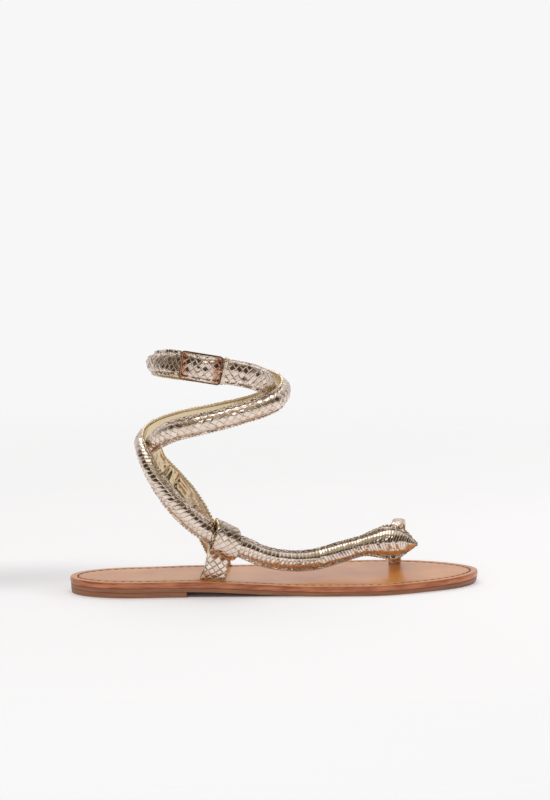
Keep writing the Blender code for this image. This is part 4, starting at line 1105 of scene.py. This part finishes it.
points = band_surface(path[:, :3], unit(along), KEEPER_WIDTH * path[:, 4], KEEPER_THICKNESS)
run = np.linspace(0.0, 1.0, len(points))[:, None]
spot_along, along_size, spot_across, across_size = RAW_SPOT
rosy_spot = np.exp(-(((run - spot_along) / along_size) ** 2) - ((band_across - spot_across) / across_size) ** 2)
leather_strip(
    "side_keeper_leather", points, band_face, band_part, BAND_CREST, "side_keeper", extra={"rosy_spot_and_painted_shade": rosy_spot}
)

# The toe loop: a narrower band of the same leather bent into a ring for the big toe. Its two ends go down
# side by side into the insole, where they are glued.
LOOP_WIDTH, LOOP_THICKNESS = 0.0073, 0.0015
LOOP_SPAN, LOOP_HEIGHT = 0.0235, 0.0272
LOOP_ALONG, LOOP_HEAD_GAP = 0.812, 0.0012
LOOP_TURN, LOOP_CROWN, LOOP_LEAN = math.radians(15.0), 0.0008, 0.09
LOOP_SKIN_ROWS = ((0.0, -9.0, -8.0, 3.0, 2.4, 0.08),)
# Across as a share of half its span, height as a share of its height
LOOP_ROWS = (
    (0.11, 0.02),
    (0.13, 0.14),
    (0.50, 0.24),
    (0.88, 0.42),
    (0.98, 0.62),
    (0.82, 0.84),
    (0.45, 0.97),
    (0.00, 1.00),
)
heads = np.array([row[:2] for row in SNAKE_FOOT_ROWS[::-1]])
loop_middle = sole_place(LOOP_ALONG, np.interp(LOOP_ALONG, heads[:, 0], heads[:, 1]), 0.0)
loop_middle[1] += LOOP_SPAN / 2.0 + LOOP_HEAD_GAP
loop_middle[2] = level_of(loop_middle[0])
half_span, loop_height = (LOOP_SPAN - LOOP_THICKNESS) / 2.0, LOOP_HEIGHT - LOOP_THICKNESS / 2.0
near = [(-(LOOP_THICKNESS + SEAM) / 2.0, -INSOLE_THICKNESS / 2.0)]
near += [(-share * half_span, level * loop_height) for share, level in LOOP_ROWS]
ring = np.array(near + [(-side, level) for side, level in near[-2::-1]])
loop_across = np.array([math.sin(LOOP_TURN), math.cos(LOOP_TURN), 0.0])
loop_along = np.array([math.cos(LOOP_TURN), -math.sin(LOOP_TURN), 0.0])
risen = np.array([0.0, 0.0, 1.0]) + LOOP_LEAN * loop_along
path = even_path(loop_middle + ring[:, :1] * loop_across + ring[:, 1:] * risen, BAND_STEP)
points = band_surface(path, np.tile(loop_along, (len(path), 1)), LOOP_WIDTH, LOOP_THICKNESS, crown=LOOP_CROWN)
leather_strip("toe_loop_leather", points, band_face, band_part, BAND_CREST, "toe_loop", LOOP_SKIN_ROWS)

# The buckle: a small rectangular frame of thin wire with a centre bar, and a wire prong hooked round the
# bar. Both are plated a polished rose gold.
BUCKLE_LENGTH, BUCKLE_INNER_WIDTH, BUCKLE_WIRE_WIDTH = 0.0246, 0.0157, 0.0011
BUCKLE_CORNER_RADIUS = 0.0016
BUCKLE_TURN, BUCKLE_SLOPE = math.radians(250.5), math.radians(7.6)
BUCKLE_DROP_HEIGHT = 0.0011
PRONG_WIRE_WIDTH = 0.0010
# The prong thins evenly by a share, and its tip is rounded over the last share of its length
PRONG_THINNING, PRONG_TIP = 0.15, 0.07
PRONG_STEP = 0.00025
WIRE_SIDES = 16
# Along the prong from the centre bar to its tip, height as a share of its height on the far bar
PRONG_ROWS = (
    (0.00, -0.07),
    (0.27, -0.07),
    (0.45, -0.02),
    (0.65, 0.62),
    (0.83, 0.97),
    (0.91, 1.00),
    (1.00, 0.94),
)

level = BUCKLE_HEIGHT - BUCKLE_DROP_HEIGHT
buckle_turn = np.array([math.cos(BUCKLE_TURN), math.sin(BUCKLE_TURN), 0.0])
buckle_out = unit(buckle_turn / np.array([ANKLE_HALF_LENGTH, ANKLE_HALF_WIDTH, 1.0]))
buckle_along = np.array([-buckle_out[1], buckle_out[0], 0.0]) * math.cos(BUCKLE_SLOPE)
buckle_along[2] = -math.sin(BUCKLE_SLOPE)
buckle_side = np.cross(buckle_out, buckle_along)
buckle_middle = np.array(
    [
        ankle_centre(level) + ANKLE_HALF_LENGTH * math.cos(BUCKLE_TURN),
        ANKLE_SHIFT + ANKLE_HALF_WIDTH * math.sin(BUCKLE_TURN),
        level,
    ]
) + buckle_out * (FLAT_THICKNESS + SEAM + BUCKLE_WIRE_WIDTH / 2.0)
buckle_axes = np.array([buckle_along, buckle_side, buckle_out])

# Rose-gold plate: polished and coppery where the wire faces the strap, and on its outer side painted a dark
# bronze as a painted reflection of the dark room, with the smears of handling, this many mm apart
SMEAR_SIZE = 2.5
plated_metal, tree, shader = new_finish("rose_gold_plate")
place = add_node(tree, "TexCoord").outputs["Object"]
smears = add_node(tree, "TexNoise", {"Scale": 1000.0 / SMEAR_SIZE, "Detail": 3.0}, {"Vector": place})
tone = add_node(tree, "ValToRGB", None, {0: smears}, ((0.0, "d9a488"), (1.0, "efc8b0")))
inner = add_node(tree, "Attribute", {"attribute_name": "inner"}).outputs["Fac"]
bright = add_node(tree, "MapRange", {"From Min": 0.05, "From Max": 0.55}, {"Value": inner})
# Painted reflection: the outer side of the frame's wire is mixed to a dark bronze
outer_side_painted_dark = add_node(tree, "Mix", {"data_type": "RGBA", 6: hex_colour("5c4438")}, {0: bright, 7: tone})
polish = add_node(tree, "MapRange", {"To Min": 0.08, "To Max": 0.20}, {"Value": smears})
set_node(tree, shader, {"Metallic": 1.0}, {"Base Color": outer_side_painted_dark.outputs[2], "Roughness": polish})


def wire_surface(path, side, wire, closed=False):
    """A round wire round a path that lies square to side, as a grid."""
    other = np.cross(directions(path, closed), side)
    turn = np.linspace(0.0, 2.0 * math.pi, WIRE_SIDES, endpoint=False)
    ring = np.cos(turn)[:, None] * side + np.sin(turn)[None, :, None] * other[:, None]
    return path[:, None] + ring * np.broadcast_to(wire / 2.0, len(path))[:, None, None]


def in_world(points):
    """Points in the buckle's own axes, along the strap, across it and outwards, set in the world."""
    return buckle_middle + points @ buckle_axes


def rounded_rectangle(length, width, radius, steps=8):
    """A flat loop round a rectangle with a quarter circle at each corner."""
    turns = np.radians(np.linspace(0.0, 90.0, steps + 1))
    arcs = []
    for quarter, (x, y) in enumerate(((1, 1), (-1, 1), (-1, -1), (1, -1))):
        round_corner = turns + quarter * math.pi / 2.0
        across = y * (width / 2.0 - radius) + radius * np.sin(round_corner)
        arcs.append(np.stack([x * (length / 2.0 - radius) + radius * np.cos(round_corner), across], axis=1))
    return np.concatenate(arcs)


outer = BUCKLE_INNER_WIDTH + BUCKLE_WIRE_WIDTH
flat_ring = rounded_rectangle(BUCKLE_LENGTH, outer, BUCKLE_CORNER_RADIUS)
ring = np.column_stack([flat_ring, np.zeros(len(flat_ring))])
frame_grid = wire_surface(ring, np.array([0.0, 0.0, 1.0]), BUCKLE_WIRE_WIDTH, closed=True)
bar_path = np.array([[0.0, share * outer / 2.0, 0.0] for share in (-1.0, 0.0, 1.0)])
bar_grid = wire_surface(bar_path, np.array([0.0, 0.0, 1.0]), BUCKLE_WIRE_WIDTH)
points = np.concatenate([frame_grid.reshape(-1, 3), bar_grid.reshape(-1, 3)])
towards_middle = -unit(ring / np.array([BUCKLE_LENGTH, outer, 1.0]))
inwards = np.sum(unit(frame_grid - ring[:, None]) * towards_middle[:, None], axis=-1)
inner = np.concatenate([inwards.ravel(), np.ones(bar_grid.size // 3)])
bar_faces = grid_faces(len(bar_path), WIRE_SIDES) + len(ring) * WIRE_SIDES
faces = np.concatenate([grid_faces(len(ring), WIRE_SIDES, closed_rows=True), bar_faces])
points, values = in_world(points), {"inner": inner}
new_piece("buckle_frame_wire", points, faces, plated_metal, values, ("buckle_frame",))

root = BUCKLE_WIRE_WIDTH / 2.0 + SEAM
prong_length = BUCKLE_LENGTH / 2.0 + BUCKLE_WIRE_WIDTH - root
prong_top = (BUCKLE_WIRE_WIDTH + PRONG_WIRE_WIDTH) / 2.0 + SEAM
prong_rows = [(root + along * prong_length, 0.0, up * prong_top) for along, up in PRONG_ROWS]
prong_path = even_path(prong_rows, PRONG_STEP)
share = np.linspace(0.0, 1.0, len(prong_path))
tip = ((share - 1.0 + PRONG_TIP) / PRONG_TIP).clip(0.0)
taper = np.sqrt(np.clip(1.0 - tip**2, 0.02, 1.0)) * (1.0 - PRONG_THINNING * share)
points, faces = closed_tube(wire_surface(prong_path, np.array([0.0, 1.0, 0.0]), PRONG_WIRE_WIDTH * taper))
points, values = in_world(points), {"inner": np.ones(len(points))}
new_piece("buckle_prong_wire", points, faces, plated_metal, values, ("buckle_prong",))

# The slim loop: a narrow band of the same leather round the strap beside the buckle, its ends joined at the
# back. It holds the strap's end down.
SLIM_LOOP_WIDTH, SLIM_LOOP_THICKNESS, SLIM_LOOP_DISTANCE = 0.0019, 0.0008, 0.0146
# It leans outwards by this share, and its skin is embossed by this share
SLIM_LOOP_LEAN, SLIM_LOOP_FACE = 0.09, 0.6
slim_place = in_world(np.array([SLIM_LOOP_DISTANCE, 0.0, 0.0]))
middle, outward, upward, width, pad, along = strap_near(snake, slim_place)
thickness = FLAT_THICKNESS + pad * PAD_HEIGHT
gap = SLIM_LOOP_THICKNESS + 3.0 * SEAM
turns = rounded_rectangle(STRAP_WIDTH * width + gap / 2.0, thickness + gap, SLIM_LOOP_THICKNESS)
out = turns[:, 1:] + SLIM_LOOP_LEAN * turns[:, :1] + thickness / 2.0
path = middle + turns[:, :1] * upward + out * outward
points = band_surface(path, np.tile(along, (len(path), 1)), SLIM_LOOP_WIDTH, SLIM_LOOP_THICKNESS, closed=True)
face, part = SLIM_LOOP_FACE * band_face, 0 * band_part
leather_strip("slim_loop_leather", points, face, part, BAND_CREST, "slim_loop", closed=True)
